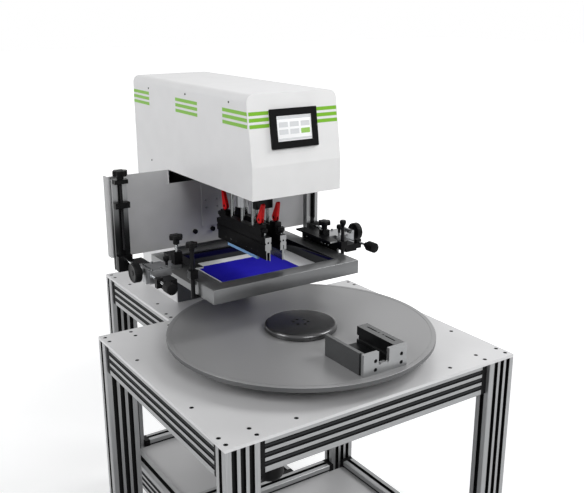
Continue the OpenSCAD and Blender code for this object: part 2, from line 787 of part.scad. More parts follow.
// Sideways stroke of the print unit
stroke_rail_l = 2 * beam_half - 2;
stroke_rail_w = 15;
carriage_w = 88;
carriage_z = top_z + head_z + 1;
carriage_t = 12;
block_l = 50;
block_w = 34;
stroke_cyl_r = 16;
stroke_cyl_z = beam_low + 42;
stroke_cyl_y = unit_y + rail_row + 44;
module stroke_unit() {
  color("silver") {
    for (s = [-1, 1])
      span([-stroke_rail_l / 2, unit_y + s * rail_row - stroke_rail_w / 2, beam_low - stroke_rail_h],
           [stroke_rail_l / 2, unit_y + s * rail_row + stroke_rail_w / 2, beam_low]);
    rod_x([-beam_half + side_plate_t, stroke_cyl_y, stroke_cyl_z], stroke_cyl_r,
          2 * (beam_half - side_plate_t));
  }
}
carriage_x = unit_x;
front_block = [54, 20, 67];
front_block_y = -90;
plate_over = 24;
module stroke_carriage() {
  gap = slide_clear;
  z_rail = beam_low - stroke_rail_h;
  y_half = rail_row + plate_over;
  color("#55585c") difference() {
    union() {
      span([carriage_x - carriage_w / 2, unit_y - y_half, carriage_z],
           [carriage_x + carriage_w / 2, unit_y + y_half, carriage_z + carriage_t]);
      for (s = [-1, 1])
        span([carriage_x - block_l / 2, unit_y + s * rail_row - block_w / 2, carriage_z + carriage_t - eps],
             [carriage_x + block_l / 2, unit_y + s * rail_row + block_w / 2, beam_low - 3]);
      translate([carriage_x - front_block[0] / 2 - 5, unit_y + front_block_y, carriage_z - front_block[2]])
        cube(front_block + [0, 0, eps]);
    }
    for (s = [-1, 1])
      span([-head_w, unit_y + s * rail_row - stroke_rail_w / 2 - gap, z_rail - gap],
           [head_w, unit_y + s * rail_row + stroke_rail_w / 2 + gap, beam_low + 1]);
    for (x = [-unit_pitch / 2, unit_pitch / 2]) {
      for (s = [-1, 1])
        rod_z([carriage_x + x, unit_y + s * rod_y, carriage_z - 1], rod_r + screw_clear, carriage_t + 2);
      rod_z([carriage_x + x, unit_y, carriage_z - 1], cylinder_r + 0.05, carriage_t + 2);
    }
  }
}
lift_stroke = 63;
cyl_up = 62;
cyl_in = 130;
cyl_low = top_z + holder_z + cyl_up;
cyl_high = top_z + head_z + cyl_in;
module lift_cylinders() {
  color("silver") for (x = [-unit_pitch / 2, unit_pitch / 2]) translate([carriage_x + x, unit_y, 0])
    difference() {
      rod_z([0, 0, cyl_low], cylinder_r, cyl_high - cyl_low);
      rod_z([0, 0, cyl_low - 1], rod_r + screw_clear, cyl_high - cyl_low - 6);
    }
}

// Squeegee and flood bar: a lift bar with rods, a holder under it, a blade below
bar_h = 18;
bar_z = top_z + holder_z;
pad_l = 30;
lever_up = 26;
lever_hub_r = 12;
lever_z = bar_z + bar_h + lever_up;
pad_z = lever_z - lever_hub_r - 0.5;
tab_t = 4;
tab_r = 7;
rod_top = carriage_z + carriage_t + lift_stroke + 8;
module lift_bar(x) {
  translate([carriage_x + x, unit_y, 0]) {
    difference() {
      union() {
        span([-holder_w / 2, -holder_l * 0.42, bar_z], [holder_w / 2, holder_l * 0.42, bar_z + bar_h]);
        for (s = [-1, 1]) {
          span([-holder_w / 2, s * lever_y - pad_l / 2, bar_z + bar_h - eps],
               [holder_w / 2, s * lever_y + pad_l / 2, pad_z]);
          span([-tab_t / 2, s * lever_y - tab_r, pad_z - eps], [tab_t / 2, s * lever_y + tab_r, lever_z]);
          rod_x([-tab_t / 2, s * lever_y, lever_z], tab_r, tab_t);
        }
      }
      for (s = [-1, 1]) rod_x([-holder_w, s * lever_y, lever_z], screw_r + screw_clear, holder_w * 2);
    }
    for (s = [-1, 1]) rod_z([0, s * rod_y, bar_z + bar_h - eps], rod_r, rod_top - bar_z - bar_h);
    rod_z([0, 0, bar_z + bar_h - eps], rod_r, cyl_high - 74 - bar_z - bar_h);
  }
}
module squeegee_lift_bar() {
  color("#2a2b2d") lift_bar(-unit_pitch / 2);
}
module flood_lift_bar() {
  color("#2a2b2d") lift_bar(unit_pitch / 2);
}
module holder_2d(low_w, low_h, slit) {
  difference() {
    union() {
      translate([-holder_w / 2, -holder_h]) square([holder_w, holder_h - 0.3]);
      translate([-low_w / 2, -holder_h - low_h]) square([low_w, low_h + eps]);
    }
    translate([-2.5, -18]) square([5, 5]);
    for (s = [-1, 1]) translate([s * holder_w / 2 - 2, -holder_h * 0.55]) square([4, 6]);
    if (slit > 0) translate([-slit / 2, -holder_h - low_h - 1]) square([slit, low_h - 6]);
  }
}
module holder(x, low_w, low_h, slit) {
  translate([carriage_x + x, unit_y + holder_l / 2, bar_z]) rotate([90, 0, 0])
    linear_extrude(holder_l) holder_2d(low_w, low_h, slit);
}
thumb_in = 10.5;
thumb_y = holder_l / 2 - thumb_in;
thumb_r = 10;
thumb_stem = 3;
thumb_depth = 14;
module thumb_knob(x, y) {
  translate([carriage_x + x, unit_y + y, bar_z]) {
    rod_z([0, 0, -thumb_depth], thumb_stem, thumb_depth + 10);
    translate([0, 0, 5]) rotate_extrude()
      polygon([[0, 0], [thumb_r * 0.6, 0], [thumb_r * 0.65, 3], [thumb_r, 7], [thumb_r, 15],
               [thumb_r - 2, 17], [0, 17]]);
  }
}
module thumb_hole(x, y) {
  rod_z([carriage_x + x, unit_y + y, bar_z - thumb_depth - 1], thumb_stem + screw_clear, thumb_depth + 4);
}
module squeegee_holder() {
  color("#232426") difference() {
    holder(-unit_pitch / 2, jaw_w, jaw_h, blade_t);
    thumb_hole(-unit_pitch / 2, thumb_y);
  }
}
module squeegee_thumb_knob() {
  color("dimgray") thumb_knob(-unit_pitch / 2, thumb_y);
}
module flood_thumb_knob() {
  color("#151515") thumb_knob(unit_pitch / 2, -thumb_y);
}
blade_low = bar_z - holder_h - jaw_h - blade_out;
module squeegee_blade() {
  color("#8fb8dc") translate([carriage_x - unit_pitch / 2, unit_y, 0])
    span([-blade_t / 2 + 0.1, -blade_l / 2, blade_low],
         [blade_t / 2 - 0.1, blade_l / 2, blade_low + blade_out + jaw_h - 8]);
}
module flood_holder() {
  color("#232426") difference() {
    holder(unit_pitch / 2, holder_w, 6, 0);
    translate([carriage_x + unit_pitch / 2, unit_y, 0])
      span([-flood_t / 2, -holder_l, bar_z - holder_h - 7], [flood_t / 2, holder_l, bar_z - holder_h + 8]);
    thumb_hole(unit_pitch / 2, -thumb_y);
  }
}
flood_low = bar_z - holder_h - jaw_h - blade_out + 2;
module flood_blade() {
  color("silver") translate([carriage_x + unit_pitch / 2, unit_y, 0])
    span([-flood_t / 2 + 0.1, -holder_l / 2 + 2, flood_low],
         [flood_t / 2 - 0.1, holder_l / 2 - 2, bar_z - holder_h + 7.5]);
}
// Red clamp lever: a fork on the bar's tab with its pin along X, leaning a little to one end
lever_tip_r = 4.5;
lever_t = 11;
module lever(x, y, tilt) {
  translate([carriage_x + x, unit_y + y, lever_z]) {
    rod_x([-lever_t / 2 - 1, 0, 0], screw_r, lever_t + 2);
    rotate([tilt, 0, 0]) difference() {
      translate([-lever_t / 2, 0, 0]) rotate([90, 0, 90]) linear_extrude(lever_t) {
        circle(lever_hub_r);
        translate([0, lever_l - lever_tip_r]) circle(lever_tip_r);
        polygon([[-lever_hub_r, 0], [lever_hub_r, 0], [lever_tip_r, lever_l - lever_tip_r],
                 [-lever_tip_r, lever_l - lever_tip_r]]);
      }
      difference() {
        span([-tab_t / 2 - 0.4, -lever_hub_r - 1, -lever_hub_r - 1],
             [tab_t / 2 + 0.4, lever_hub_r + 1, tab_r + 1]);
        rod_x([-lever_t, 0, 0], screw_r, 2 * lever_t);
      }
    }
  }
}
module squeegee_lever_front() {
  color("crimson") lever(-unit_pitch / 2, -lever_y, 19);
}
module squeegee_lever_rear() {
  color("crimson") lever(-unit_pitch / 2, lever_y, -17);
}
module flood_lever_front() {
  color("crimson") lever(unit_pitch / 2, -lever_y, 19);
}
module flood_lever_rear() {
  color("crimson") lever(unit_pitch / 2, lever_y, -17);
}

// Screen frame of hollow bars with the mesh under it
frame_low = top_z + frame_z;
frame_top = frame_low + frame_h;
module screen_frame() {
  color("silver") translate([0, unit_y, frame_low]) difference() {
    linear_extrude(frame_h) difference() {
      round_rect(frame_w, frame_d, 2);
      square([frame_w - 2 * frame_bar, frame_d - 2 * frame_bar], center = true);
    }
    translate([0, 0, frame_wall]) linear_extrude(frame_h - 2 * frame_wall) difference() {
      square([frame_w - 2 * frame_wall, frame_d - 2 * frame_wall], center = true);
      square([frame_w - 2 * frame_bar + 2 * frame_wall, frame_d - 2 * frame_bar + 2 * frame_wall],
             center = true);
    }
  }
}
module screen_mesh() {
  color("midnightblue") translate([0, unit_y, frame_low - mesh_t])
    linear_extrude(mesh_t) square([frame_w - frame_bar, frame_d - frame_bar], center = true);
}

// Frame holder, drawn for the right side and mirrored for the left
carriage_low = top_z + rail_z;
arm_x0 = rail_x - 49;
arm_x1 = rail_x - 7;
arm_z0 = carriage_low + 12;
arm_z1 = arm_z0 + 22;
arm_front = unit_y - 76;
y_screw_x = rail_x + 2;
y_screw_z = arm_z1 + 3;
slide_front = rail_y - 14;
nut_up = 189;
slide_h = 46;
nut_h = 17;
nut_z = carriage_low + nut_up;
stage_y0 = unit_y - 34;
stage_y1 = unit_y + 36;
stage_z0 = arm_z1 + slide_clear;
stage_z1 = stage_z0 + 10;
stage_x0 = arm_x0 - 4;
stage_x1 = y_screw_x + 10;
bar_z0 = stage_z1 + slide_clear;
bar_z1 = bar_z0 + 11;
x_screw_z = (bar_z0 + bar_z1) / 2;
x_screw_y = unit_y - 6;
module height_slide() {
  c = slide_clear;
  difference() {
    union() {
      span([rail_x - 22, slide_front, carriage_low], [rail_x + 22, rail_y - c, carriage_low + slide_h]);
      span([rail_x - rail_slot_w / 2 + c, rail_y - 3, carriage_low],
           [rail_x + rail_slot_w / 2 - c, rail_y + 7, nut_z + 2]);
      span([rail_x - 22, slide_front - 4, nut_z], [rail_x + 22, rail_y - c, nut_z + nut_h]);
      span([arm_x0, arm_front, arm_z0], [arm_x1, slide_front + 1, arm_z1]);
      span([arm_x0, slide_front - 40, carriage_low], [arm_x1, slide_front + 1, arm_z0 + 1]);
      span([arm_x1 - 1, arm_front, arm_z0 + 6], [y_screw_x + 9, arm_front + 14, y_screw_z + 9]);
    }
    rod_z([rail_x, screw_y, nut_z - 1], screw_r + screw_clear, nut_h + 2);
    rod_along_y([y_screw_x, arm_front - 1, y_screw_z], screw_r + screw_clear, rail_y - c - 1 - arm_front);
  }
}
module star_2d(r) {
  circle(r * 0.72);
  for (a = [0:60:300]) rotate(a) translate([r * 0.72, 0]) circle(r * 0.28);
}
module star_knob(r, h, neck) {
  translate([0, 0, -neck]) cylinder(r = r * 0.45, h = neck + 1);
  linear_extrude(h) star_2d(r);
}
height_knob_z = top_z + rail_z + rail_l + 11;
module height_knob() {
  translate([rail_x, screw_y, height_knob_z]) star_knob(star_r, 17, 10.5);
  rod_z([rail_x, screw_y, carriage_low + 64], screw_r, height_knob_z - carriage_low - 64 + eps);
}
module y_stage() {
  c = slide_clear;
  difference() {
    union() {
      span([stage_x0, stage_y0, stage_z0], [stage_x1, stage_y1, stage_z1]);
      span([arm_x1 + c, stage_y0, arm_z0 + 6], [stage_x1, stage_y1, stage_z1]);
      span([stage_x0, stage_y0, stage_z0], [arm_x0 - c, stage_y1, stage_z1]);
      for (y = [stage_y0, stage_y1 - 9.7])
        span([stage_x0, y, stage_z0], [stage_x1, y + 9.7, bar_z1]);
      span([stage_x1 - eps, stage_y0 + 8, arm_z0 + 6], [stage_x1 + 8, stage_y1 - 8, bar_z1 + 6]);
    }
    rod_along_y([y_screw_x, stage_y0 - 1, y_screw_z], screw_r + screw_clear, stage_y1 - stage_y0 + 2);
    rod_x([stage_x1 - 4, x_screw_y, x_screw_z], screw_r + screw_clear, 20);
    rod_z([lock_x, lock_y, bar_z1 - 9], lock_stem + screw_clear, 12);
  }
}
y_knob_l = 45;
y_knob_front = arm_front - 78;
module y_knob() {
  rod_along_y([y_screw_x, y_knob_front + 20, y_screw_z], screw_r, rail_y - y_knob_front - 26);
  translate([y_screw_x, y_knob_front, y_screw_z]) rotate([-90, 0, 0]) rotate_extrude()
    polygon([[0, 0], [knurl_r - 2, 0], [knurl_r, 3], [knurl_r, y_knob_l - 12],
             [knurl_r * 0.6, y_knob_l - 4], [knurl_r * 0.5, y_knob_l], [0, y_knob_l]]);
}
frame_side = frame_w / 2;
web_x = frame_side + 0.5;
web_t = 6;
web_z0 = frame_low + 25;
web_z1 = bar_z1 + 6;
clamp_y0 = unit_y - clamp_l / 2;
clamp_y1 = unit_y + clamp_l / 2;
clamp_in = 27;
bar_end = stage_x1 - 14;
clamp_block = 22;
clamp_block_z = [bar_z1 + 20, bar_z1 + 35];
clamp_knob_x = web_x + clamp_block / 2 + 1;
clamp_knob_y = unit_y - 8;
hook_x = web_x + web_t + 6;
hook_y = clamp_y0 - 10;
hook_r = 6;
hook_lug = 24;
module frame_clamp(block_z) {
  c = slide_clear;
  difference() {
    union() {
      span([web_x, clamp_y0, web_z0], [web_x + web_t, clamp_y1, web_z1]);
      span([web_x - clamp_in, clamp_y0, web_z1 - 5], [web_x + eps, clamp_y1, web_z1]);
      span([web_x, clamp_knob_y - clamp_block / 2, bar_z1 - eps],
           [web_x + clamp_block + 2, clamp_knob_y + clamp_block / 2, block_z]);
      span([web_x + web_t - eps, stage_y0 + 10, bar_z0], [bar_end, stage_y1 - 10, bar_z1]);
      span([web_x, hook_y - 10, web_z1 - hook_lug], [hook_x + hook_r + 5, clamp_y0 + eps, web_z1]);
    }
    rod_x([web_x + web_t + 4, x_screw_y, x_screw_z], screw_r + screw_clear, stage_x1);
    rod_z([clamp_knob_x, clamp_knob_y, bar_z1 + 2], screw_r + screw_clear, 2 * clamp_block_z[1]);
    rod_z([hook_x, hook_y, web_z1 - hook_lug - 1], hook_r + screw_clear, hook_lug + 2);
  }
}
wheel_x = stage_x1 + 12;
wheel_t = 28;
module x_wheel() {
  rod_x([web_x + web_t + 14, x_screw_y, x_screw_z], screw_r, wheel_x - web_x - web_t - 13);
  translate([wheel_x, x_screw_y, x_screw_z]) rotate([0, 90, 0]) rotate_extrude()
    polygon([[0, 0], [11, 0], [12, 5], [wheel_r - 3, 8], [wheel_r, 11], [wheel_r, wheel_t - 3],
             [wheel_r - 3, wheel_t], [0, wheel_t]]);
}
clamp_knob_z = [top_z + 256, top_z + 290];
clamp_knob_r = 20;
module clamp_knob(z) {
  translate([clamp_knob_x, clamp_knob_y, z]) star_knob(clamp_knob_r, 14, 14);
  rod_z([clamp_knob_x, clamp_knob_y, bar_z1 + 3], screw_r, z - bar_z1 - 3 + eps);
}
lock_x = stage_x0 + 12;
lock_y = stage_y0 + 5;
lock_r = 8.5;
lock_stem = 2.5;
module lock_knob() {
  rod_z([lock_x, lock_y, bar_z1 - 8], lock_stem, 22);
  translate([lock_x, lock_y, bar_z1 + 8]) rotate_extrude()
    polygon([[0, 0], [4, 0], [4, 10], [lock_r - 2, 13], [lock_r, 15], [lock_r, 24],
             [lock_r - 2, 26], [0, 26]]);
}
hook_knob_z = top_z + 292;
hook_knob_r = 17;
module hook_knob() {
  translate([hook_x, hook_y, hook_knob_z]) star_knob(hook_knob_r, 13, 13);
  rod_z([hook_x, hook_y, frame_low - mesh_t - 6], hook_r, hook_knob_z - frame_low + 7);
  span([frame_side - 17, hook_y - 7, frame_low - mesh_t - 6], [hook_x, hook_y + 7, frame_low - mesh_t - 0.4]);
}

module left_height_slide() {
  color("#3b3d40") mirror([1, 0, 0]) height_slide();
}
module right_height_slide() {
  color("#3b3d40") height_slide();
}
module left_height_knob() {
  color("#19191b") mirror([1, 0, 0]) height_knob();
}
module right_height_knob() {
  color("#19191b") height_knob();
}
module left_y_stage() {
  color("gray") mirror([1, 0, 0]) y_stage();
}
module right_y_stage() {
  color("gray") y_stage();
}
module left_y_knob() {
  color("#19191b") mirror([1, 0, 0]) y_knob();
}
module right_y_knob() {
  color("#19191b") y_knob();
}
module left_frame_clamp() {
  color("#28292b") mirror([1, 0, 0]) frame_clamp(clamp_block_z[1]);
}
module right_frame_clamp() {
  color("#28292b") frame_clamp(clamp_block_z[0]);
}
module left_x_wheel() {
  color("#19191b") mirror([1, 0, 0]) x_wheel();
}
module right_x_wheel() {
  color("#19191b") x_wheel();
}
module left_clamp_knob() {
  color("#19191b") mirror([1, 0, 0]) clamp_knob(clamp_knob_z[1]);
}
module right_clamp_knob() {
  color("#19191b") clamp_knob(clamp_knob_z[0]);
}
module left_hook_knob() {
  color("#19191b") mirror([1, 0, 0]) hook_knob();
}
module right_hook_knob() {
  color("#19191b") hook_knob();
}
module left_lock_knob() {
  color("#19191b") mirror([1, 0, 0]) lock_knob();
}
module right_lock_knob() {
  color("#19191b") lock_knob();
}

table_legs();
table_beams();
joint_blocks();
table_plates();
table_screws();
levelling_feet();
index_gearbox();
index_motor();
turntable_spindle();
turntable_disc();
hub_cap();
jig_body();
jig_side_block();
jig_end_plate();
jig_screws();
inner_frame();
column_cover();
back_plate();
centre_plate();
side_rails();
head_cover();
head_front_panel();
cover_fittings();
panel_bezel();
touch_screen();
stroke_unit();
stroke_carriage();
lift_cylinders();
squeegee_lift_bar();
squeegee_holder();
squeegee_blade();
flood_lift_bar();
flood_holder();
flood_blade();
squeegee_lever_front();
squeegee_lever_rear();
flood_lever_front();
flood_lever_rear();
squeegee_thumb_knob();
flood_thumb_knob();
screen_frame();
screen_mesh();
left_height_slide();
right_height_slide();
left_height_knob();
right_height_knob();
left_y_stage();
right_y_stage();
left_y_knob();
right_y_knob();
left_frame_clamp();
right_frame_clamp();
left_x_wheel();
right_x_wheel();
left_clamp_knob();
right_clamp_knob();
left_hook_knob();
right_hook_knob();
left_lock_knob();
right_lock_knob();
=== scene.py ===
import bpy, bmesh, json, math
from mathutils import Matrix, Vector


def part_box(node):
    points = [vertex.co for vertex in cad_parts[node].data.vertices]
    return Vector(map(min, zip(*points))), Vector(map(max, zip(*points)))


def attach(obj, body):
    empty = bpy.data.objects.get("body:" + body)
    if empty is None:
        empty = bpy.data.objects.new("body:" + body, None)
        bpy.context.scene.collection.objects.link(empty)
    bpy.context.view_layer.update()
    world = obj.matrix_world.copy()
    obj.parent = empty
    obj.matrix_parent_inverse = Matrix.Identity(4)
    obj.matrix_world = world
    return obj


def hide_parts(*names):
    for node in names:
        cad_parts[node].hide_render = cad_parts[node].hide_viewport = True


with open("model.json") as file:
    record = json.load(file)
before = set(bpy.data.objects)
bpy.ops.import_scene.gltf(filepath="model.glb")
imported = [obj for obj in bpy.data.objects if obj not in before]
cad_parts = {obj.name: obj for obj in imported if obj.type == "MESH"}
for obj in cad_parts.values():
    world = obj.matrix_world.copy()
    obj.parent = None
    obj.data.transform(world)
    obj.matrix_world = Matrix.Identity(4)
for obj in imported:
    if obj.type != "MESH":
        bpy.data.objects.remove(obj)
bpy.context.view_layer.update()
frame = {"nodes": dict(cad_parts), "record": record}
nodes = frame["nodes"]
print("frame loaded with", len(nodes), "nodes")

mm = 0.001
bodies = frame["record"]["behaviour"]["bodies"]
bodyOf = {node: body for body, members in bodies.items() for node in members}
sides = (("left", -1), ("right", 1))

# where a finish changes on a piece, in metres
places = {"shelvesBelow": 0.5, "railReflectionTop": (1.12, 1.25), "discCentre": (0, -0.26), "discEdge": 0.3704}
noiseSpan = (0.3, 0.7)  # nearly all values of a noise lie between these


# colours are written as sRGB hex, the shader wants linear
def hexLinear(code):
    parts = [int(code[i:i + 2], 16) / 255 for i in (1, 3, 5)]
    return [p / 12.92 if p <= 0.04045 else ((p + 0.055) / 1.055) ** 2.4 for p in parts] + [1.0]


# a value is a number, a hex colour, or a socket to link from
def addNode(tree, kind, values=None, **settings):
    node = tree.nodes.new(kind)
    for name, value in settings.items():
        setattr(node, name, value)
    for key, value in (values or {}).items():
        if isinstance(value, bpy.types.NodeSocket):
            tree.links.new(value, node.inputs[key])
        else:
            node.inputs[key].default_value = hexLinear(value) if isinstance(value, str) else value
    return node


def startMaterial(name, colour, metallic, roughness, **shaderValues):
    material = bpy.data.materials.new(name)
    material.use_nodes = True
    tree = material.node_tree
    shader = tree.nodes["Principled BSDF"]
    shader.inputs["Base Color"].default_value = hexLinear(colour)
    shader.inputs["Metallic"].default_value = metallic
    shader.inputs["Roughness"].default_value = roughness
    for key, value in shaderValues.items():
        shader.inputs[key.replace("_", " ")].default_value = value
    material.diffuse_color = hexLinear(colour)
    return material, tree, shader


def objectPoint(tree, scale=(1, 1, 1), place=(0, 0, 0)):
    coord = addNode(tree, "ShaderNodeTexCoord")
    values = {"Vector": coord.outputs["Object"], "Scale": scale, "Location": place}
    return addNode(tree, "ShaderNodeMapping", values).outputs["Vector"]


# two close shades of one colour, spread by a noise of a real size in mm
def shadeNoise(tree, shader, dark, light, sizeMm, point=None, detail=3.0, grit=0.55):
    point = point or objectPoint(tree)
    values = {"Vector": point, "Scale": 1 / (sizeMm * mm), "Detail": detail, "Roughness": grit}
    noise = addNode(tree, "ShaderNodeTexNoise", values).outputs["Fac"]
    ramp = addNode(tree, "ShaderNodeValToRGB", {"Fac": noise})
    for element, place, colour in zip(ramp.color_ramp.elements, noiseSpan, (dark, light)):
        element.position, element.color = place, hexLinear(colour)
    tree.links.new(ramp.outputs["Color"], shader.inputs["Base Color"])
    return ramp.outputs["Color"], noise


def roughNoise(tree, shader, low, high, sizeMm, point=None):
    point = point or objectPoint(tree)
    noise = addNode(tree, "ShaderNodeTexNoise", {"Vector": point, "Scale": 1 / (sizeMm * mm), "Detail": 4.0})
    values = {"Value": noise.outputs["Fac"], "From Min": noiseSpan[0], "From Max": noiseSpan[1],
              "To Min": low, "To Max": high}
    span = addNode(tree, "ShaderNodeMapRange", values)
    tree.links.new(span.outputs["Result"], shader.inputs["Roughness"])


def grainBump(tree, shader, sizeMm, depthMm, strength=0.5):
    point = objectPoint(tree)
    noise = addNode(tree, "ShaderNodeTexNoise", {"Vector": point, "Scale": 1 / (sizeMm * mm), "Detail": 2.0})
    values = {"Height": noise.outputs["Fac"], "Distance": depthMm * mm, "Strength": strength}
    bump = addNode(tree, "ShaderNodeBump", values)
    tree.links.new(bump.outputs["Normal"], shader.inputs["Normal"])


# 1 where a coordinate lies in one of the runs, which are in mm
def runMask(tree, value, runs):
    total = 0.0
    for low, high in runs:
        values = {0: value, 1: (low + high) / 2 * mm, 2: (high - low) / 2 * mm}
        inside = addNode(tree, "ShaderNodeMath", values, operation="COMPARE").outputs[0]
        total = addNode(tree, "ShaderNodeMath", {0: total, 1: inside}, operation="ADD").outputs[0]
    return total


# clear anodised extrusion: satin silver with faint lines along the bar
def anodised(name, stretch):
    material, tree, shader = startMaterial(name, "#9b9c9d", 0.6, 0.36)
    lines = objectPoint(tree, scale=stretch)
    shadeNoise(tree, shader, "#929394", "#a0a1a2", 1.6, lines)
    roughNoise(tree, shader, 0.3, 0.42, 2.0, lines)
    return material


# rail profile: clear anodised; the left one is painted dark below its slide's top, as a painted dark reflection
def railProfile():
    material, tree, shader = startMaterial("rail_profile", "#8b8c8d", 0.6, 0.34)
    lines = objectPoint(tree, scale=(1, 1, 0.02))
    clear = shadeNoise(tree, shader, "#858687", "#929394", 1.6, lines)[0]
    parts = addNode(tree, "ShaderNodeSeparateXYZ", {"Vector": objectPoint(tree)})
    low, high = places["railReflectionTop"]
    values = {"Value": parts.outputs["Z"], "From Min": low, "From Max": high}
    up = addNode(tree, "ShaderNodeMapRange", values, interpolation_type="SMOOTHSTEP").outputs["Result"]
    right = addNode(tree, "ShaderNodeMath", {0: parts.outputs["X"], 1: 0.0}, operation="GREATER_THAN").outputs[0]
    bare = addNode(tree, "ShaderNodeMath", {0: up, 1: right}, operation="MAXIMUM").outputs[0]
    # the left rail's lower part takes the dark colour: a painted reflection
    mix = addNode(tree, "ShaderNodeMix", {0: bare, 6: "#1b1c1d", 7: clear}, data_type="RGBA")
    tree.links.new(mix.outputs[2], shader.inputs["Base Color"])
    return material


# PVC strip in the slots, and painted shade behind it and in grooves and holes: black, hardly any sheen
def slotBlack():
    material, tree, shader = startMaterial("slot_strip_and_painted_shade_black", "#070708", 0.0, 0.6, Specular_IOR_Level=0.2)
    shadeNoise(tree, shader, "#050506", "#0a0a0b", 3.0)
    return material


# ABS, moulded black, with a fine eroded grain of about half a millimetre
def blackMoulding(name="moulded_black", colour="#0b0b0c", light="#111112", roughness=0.42):
    material, tree, shader = startMaterial(name, colour, 0.0, roughness, Specular_IOR_Level=0.08)
    shadeNoise(tree, shader, colour, light, 9.0)
    grainBump(tree, shader, 0.5, 0.04)
    return material


# sheet steel with powder coat: even colour and a soft orange peel of about 1.5 mm
def powderCoat(name, dark, light, roughness=0.34, gloss=0.4):
    material, tree, shader = startMaterial(name, light, 0.0, roughness, Specular_IOR_Level=gloss)
    shadeNoise(tree, shader, dark, light, 60.0, detail=1.0)
    grainBump(tree, shader, 1.5, 0.02, strength=0.35)
    return material


# aluminium plate, ground and clear anodised: pale satin, hardly any grain; the shelves are painted darker, as
# painted shade under the tables
def groundPlate():
    material, tree, shader = startMaterial("ground_plate", "#d2d2d3", 0.35, 0.45)
    pale = shadeNoise(tree, shader, "#d0d0d1", "#d4d4d5", 120.0, detail=1.0)[0]
    height = addNode(tree, "ShaderNodeSeparateXYZ", {"Vector": objectPoint(tree)}).outputs["Z"]
    values = {0: height, 1: places["shelvesBelow"]}
    isTop = addNode(tree, "ShaderNodeMath", values, operation="GREATER_THAN").outputs[0]
    # below shelvesBelow the plate takes a darker colour: painted shade on the shelves
    mix = addNode(tree, "ShaderNodeMix", {0: isTop, 6: "#b3b3b4", 7: pale}, data_type="RGBA")
    tree.links.new(mix.outputs[2], shader.inputs["Base Color"])
    roughNoise(tree, shader, 0.43, 0.49, 90.0)
    return material


# turned face: rings a fraction of a millimetre apart, drawn at 1.5 mm so that they show
def turnedFace(name, dark, light, metallic, roughness, rimColour=None, ringMm=1.5):
    material, tree, shader = startMaterial(name, light, metallic, roughness)
    x, y = places["discCentre"]
    parts = addNode(tree, "ShaderNodeSeparateXYZ", {"Vector": objectPoint(tree, place=(-x, -y, 0))})
    flat = addNode(tree, "ShaderNodeCombineXYZ", {"X": parts.outputs["X"], "Y": parts.outputs["Y"]})
    radius = addNode(tree, "ShaderNodeVectorMath", {0: flat.outputs["Vector"]}, operation="LENGTH").outputs["Value"]
    ring = addNode(tree, "ShaderNodeCombineXYZ", {"X": radius})
    face, noise = shadeNoise(tree, shader, dark, light, ringMm, ring.outputs["Vector"], grit=0.5)
    if rimColour:
        values = {0: radius, 1: places["discEdge"]}
        onRim = addNode(tree, "ShaderNodeMath", values, operation="GREATER_THAN").outputs[0]
        mix = addNode(tree, "ShaderNodeMix", {0: onRim, 6: face, 7: rimColour}, data_type="RGBA")
        tree.links.new(mix.outputs[2], shader.inputs["Base Color"])
    values = {"Value": noise, "From Min": noiseSpan[0], "From Max": noiseSpan[1],
              "To Min": roughness - 0.01, "To Max": roughness + 0.02}
    span = addNode(tree, "ShaderNodeMapRange", values)
    tree.links.new(span.outputs["Result"], shader.inputs["Roughness"])
    bump = addNode(tree, "ShaderNodeBump", {"Height": noise, "Distance": 0.002 * mm, "Strength": 0.15})
    tree.links.new(bump.outputs["Normal"], shader.inputs["Normal"])
    return material


# sawn aluminium: the blade's lines lie across one axis
def sawnAlloy(name, dark, light, axis, lineMm, metallic, roughness):
    material, tree, shader = startMaterial(name, light, metallic, roughness)
    scale = [0.05, 0.05, 0.05]
    scale[axis] = 1.0
    lines = objectPoint(tree, scale=scale)
    shadeNoise(tree, shader, dark, light, lineMm, lines)
    roughNoise(tree, shader, roughness - 0.05, roughness + 0.08, lineMm, lines)
    return material


# fine milled and anodised alloy: an even satin, the cutter lines are too fine to show
def satinAlloy(name, dark, light, metallic, roughness):
    material, tree, shader = startMaterial(name, light, metallic, roughness)
    shadeNoise(tree, shader, dark, light, 60.0, detail=0.0)
    roughNoise(tree, shader, roughness - 0.01, roughness + 0.02, 60.0)
    return material


# ground steel: even and bright, cloudy over a few millimetres
def groundSteel(name="ground_steel", dark="#7b7d7e", light="#868889", roughness=0.2):
    material, tree, shader = startMaterial(name, light, 1.0, roughness)
    shadeNoise(tree, shader, dark, light, 5.0)
    return material


# black anodised alloy or blackened steel: deep black with a faint sheen
def blackAnodised(name="black_anodised", dark="#0b0b0c", light="#121213", roughness=0.34, metallic=0.0):
    material, tree, shader = startMaterial(name, light, metallic, roughness, Specular_IOR_Level=0.08)
    shadeNoise(tree, shader, dark, light, 40.0, detail=1.0)
    return material


# polyurethane blade: pale blue, slightly waxy
def blueUrethane():
    waxy = {"Subsurface_Weight": 0.1, "Subsurface_Radius": (0.003, 0.003, 0.004)}
    material, tree, shader = startMaterial("urethane_pale_blue", "#8dbbe6", 0.0, 0.38, **waxy)
    shadeNoise(tree, shader, "#7fb0df", "#9bc5ec", 8.0)
    return material


# nylon lever with a satin moulded skin
def redNylon():
    material, tree, shader = startMaterial("nylon_red", "#cf0d12", 0.0, 0.3, Specular_IOR_Level=0.2)
    shadeNoise(tree, shader, "#cb0b10", "#d61116", 7.0)
    grainBump(tree, shader, 0.6, 0.03)
    return material


# green bands on the white powder coat: three bars, in runs along the side and the front
bands = {
    "green": "#7cba2a",
    "barCentres": (1498, 1482, 1466),
    "barHeight": 9.5,
    "sideRuns": ((374.5, 493.5), (51.5, 190.5), (-221.5, -92.5)),
    "frontRuns": ((-137.5, -78), (68, 137.5)),
}


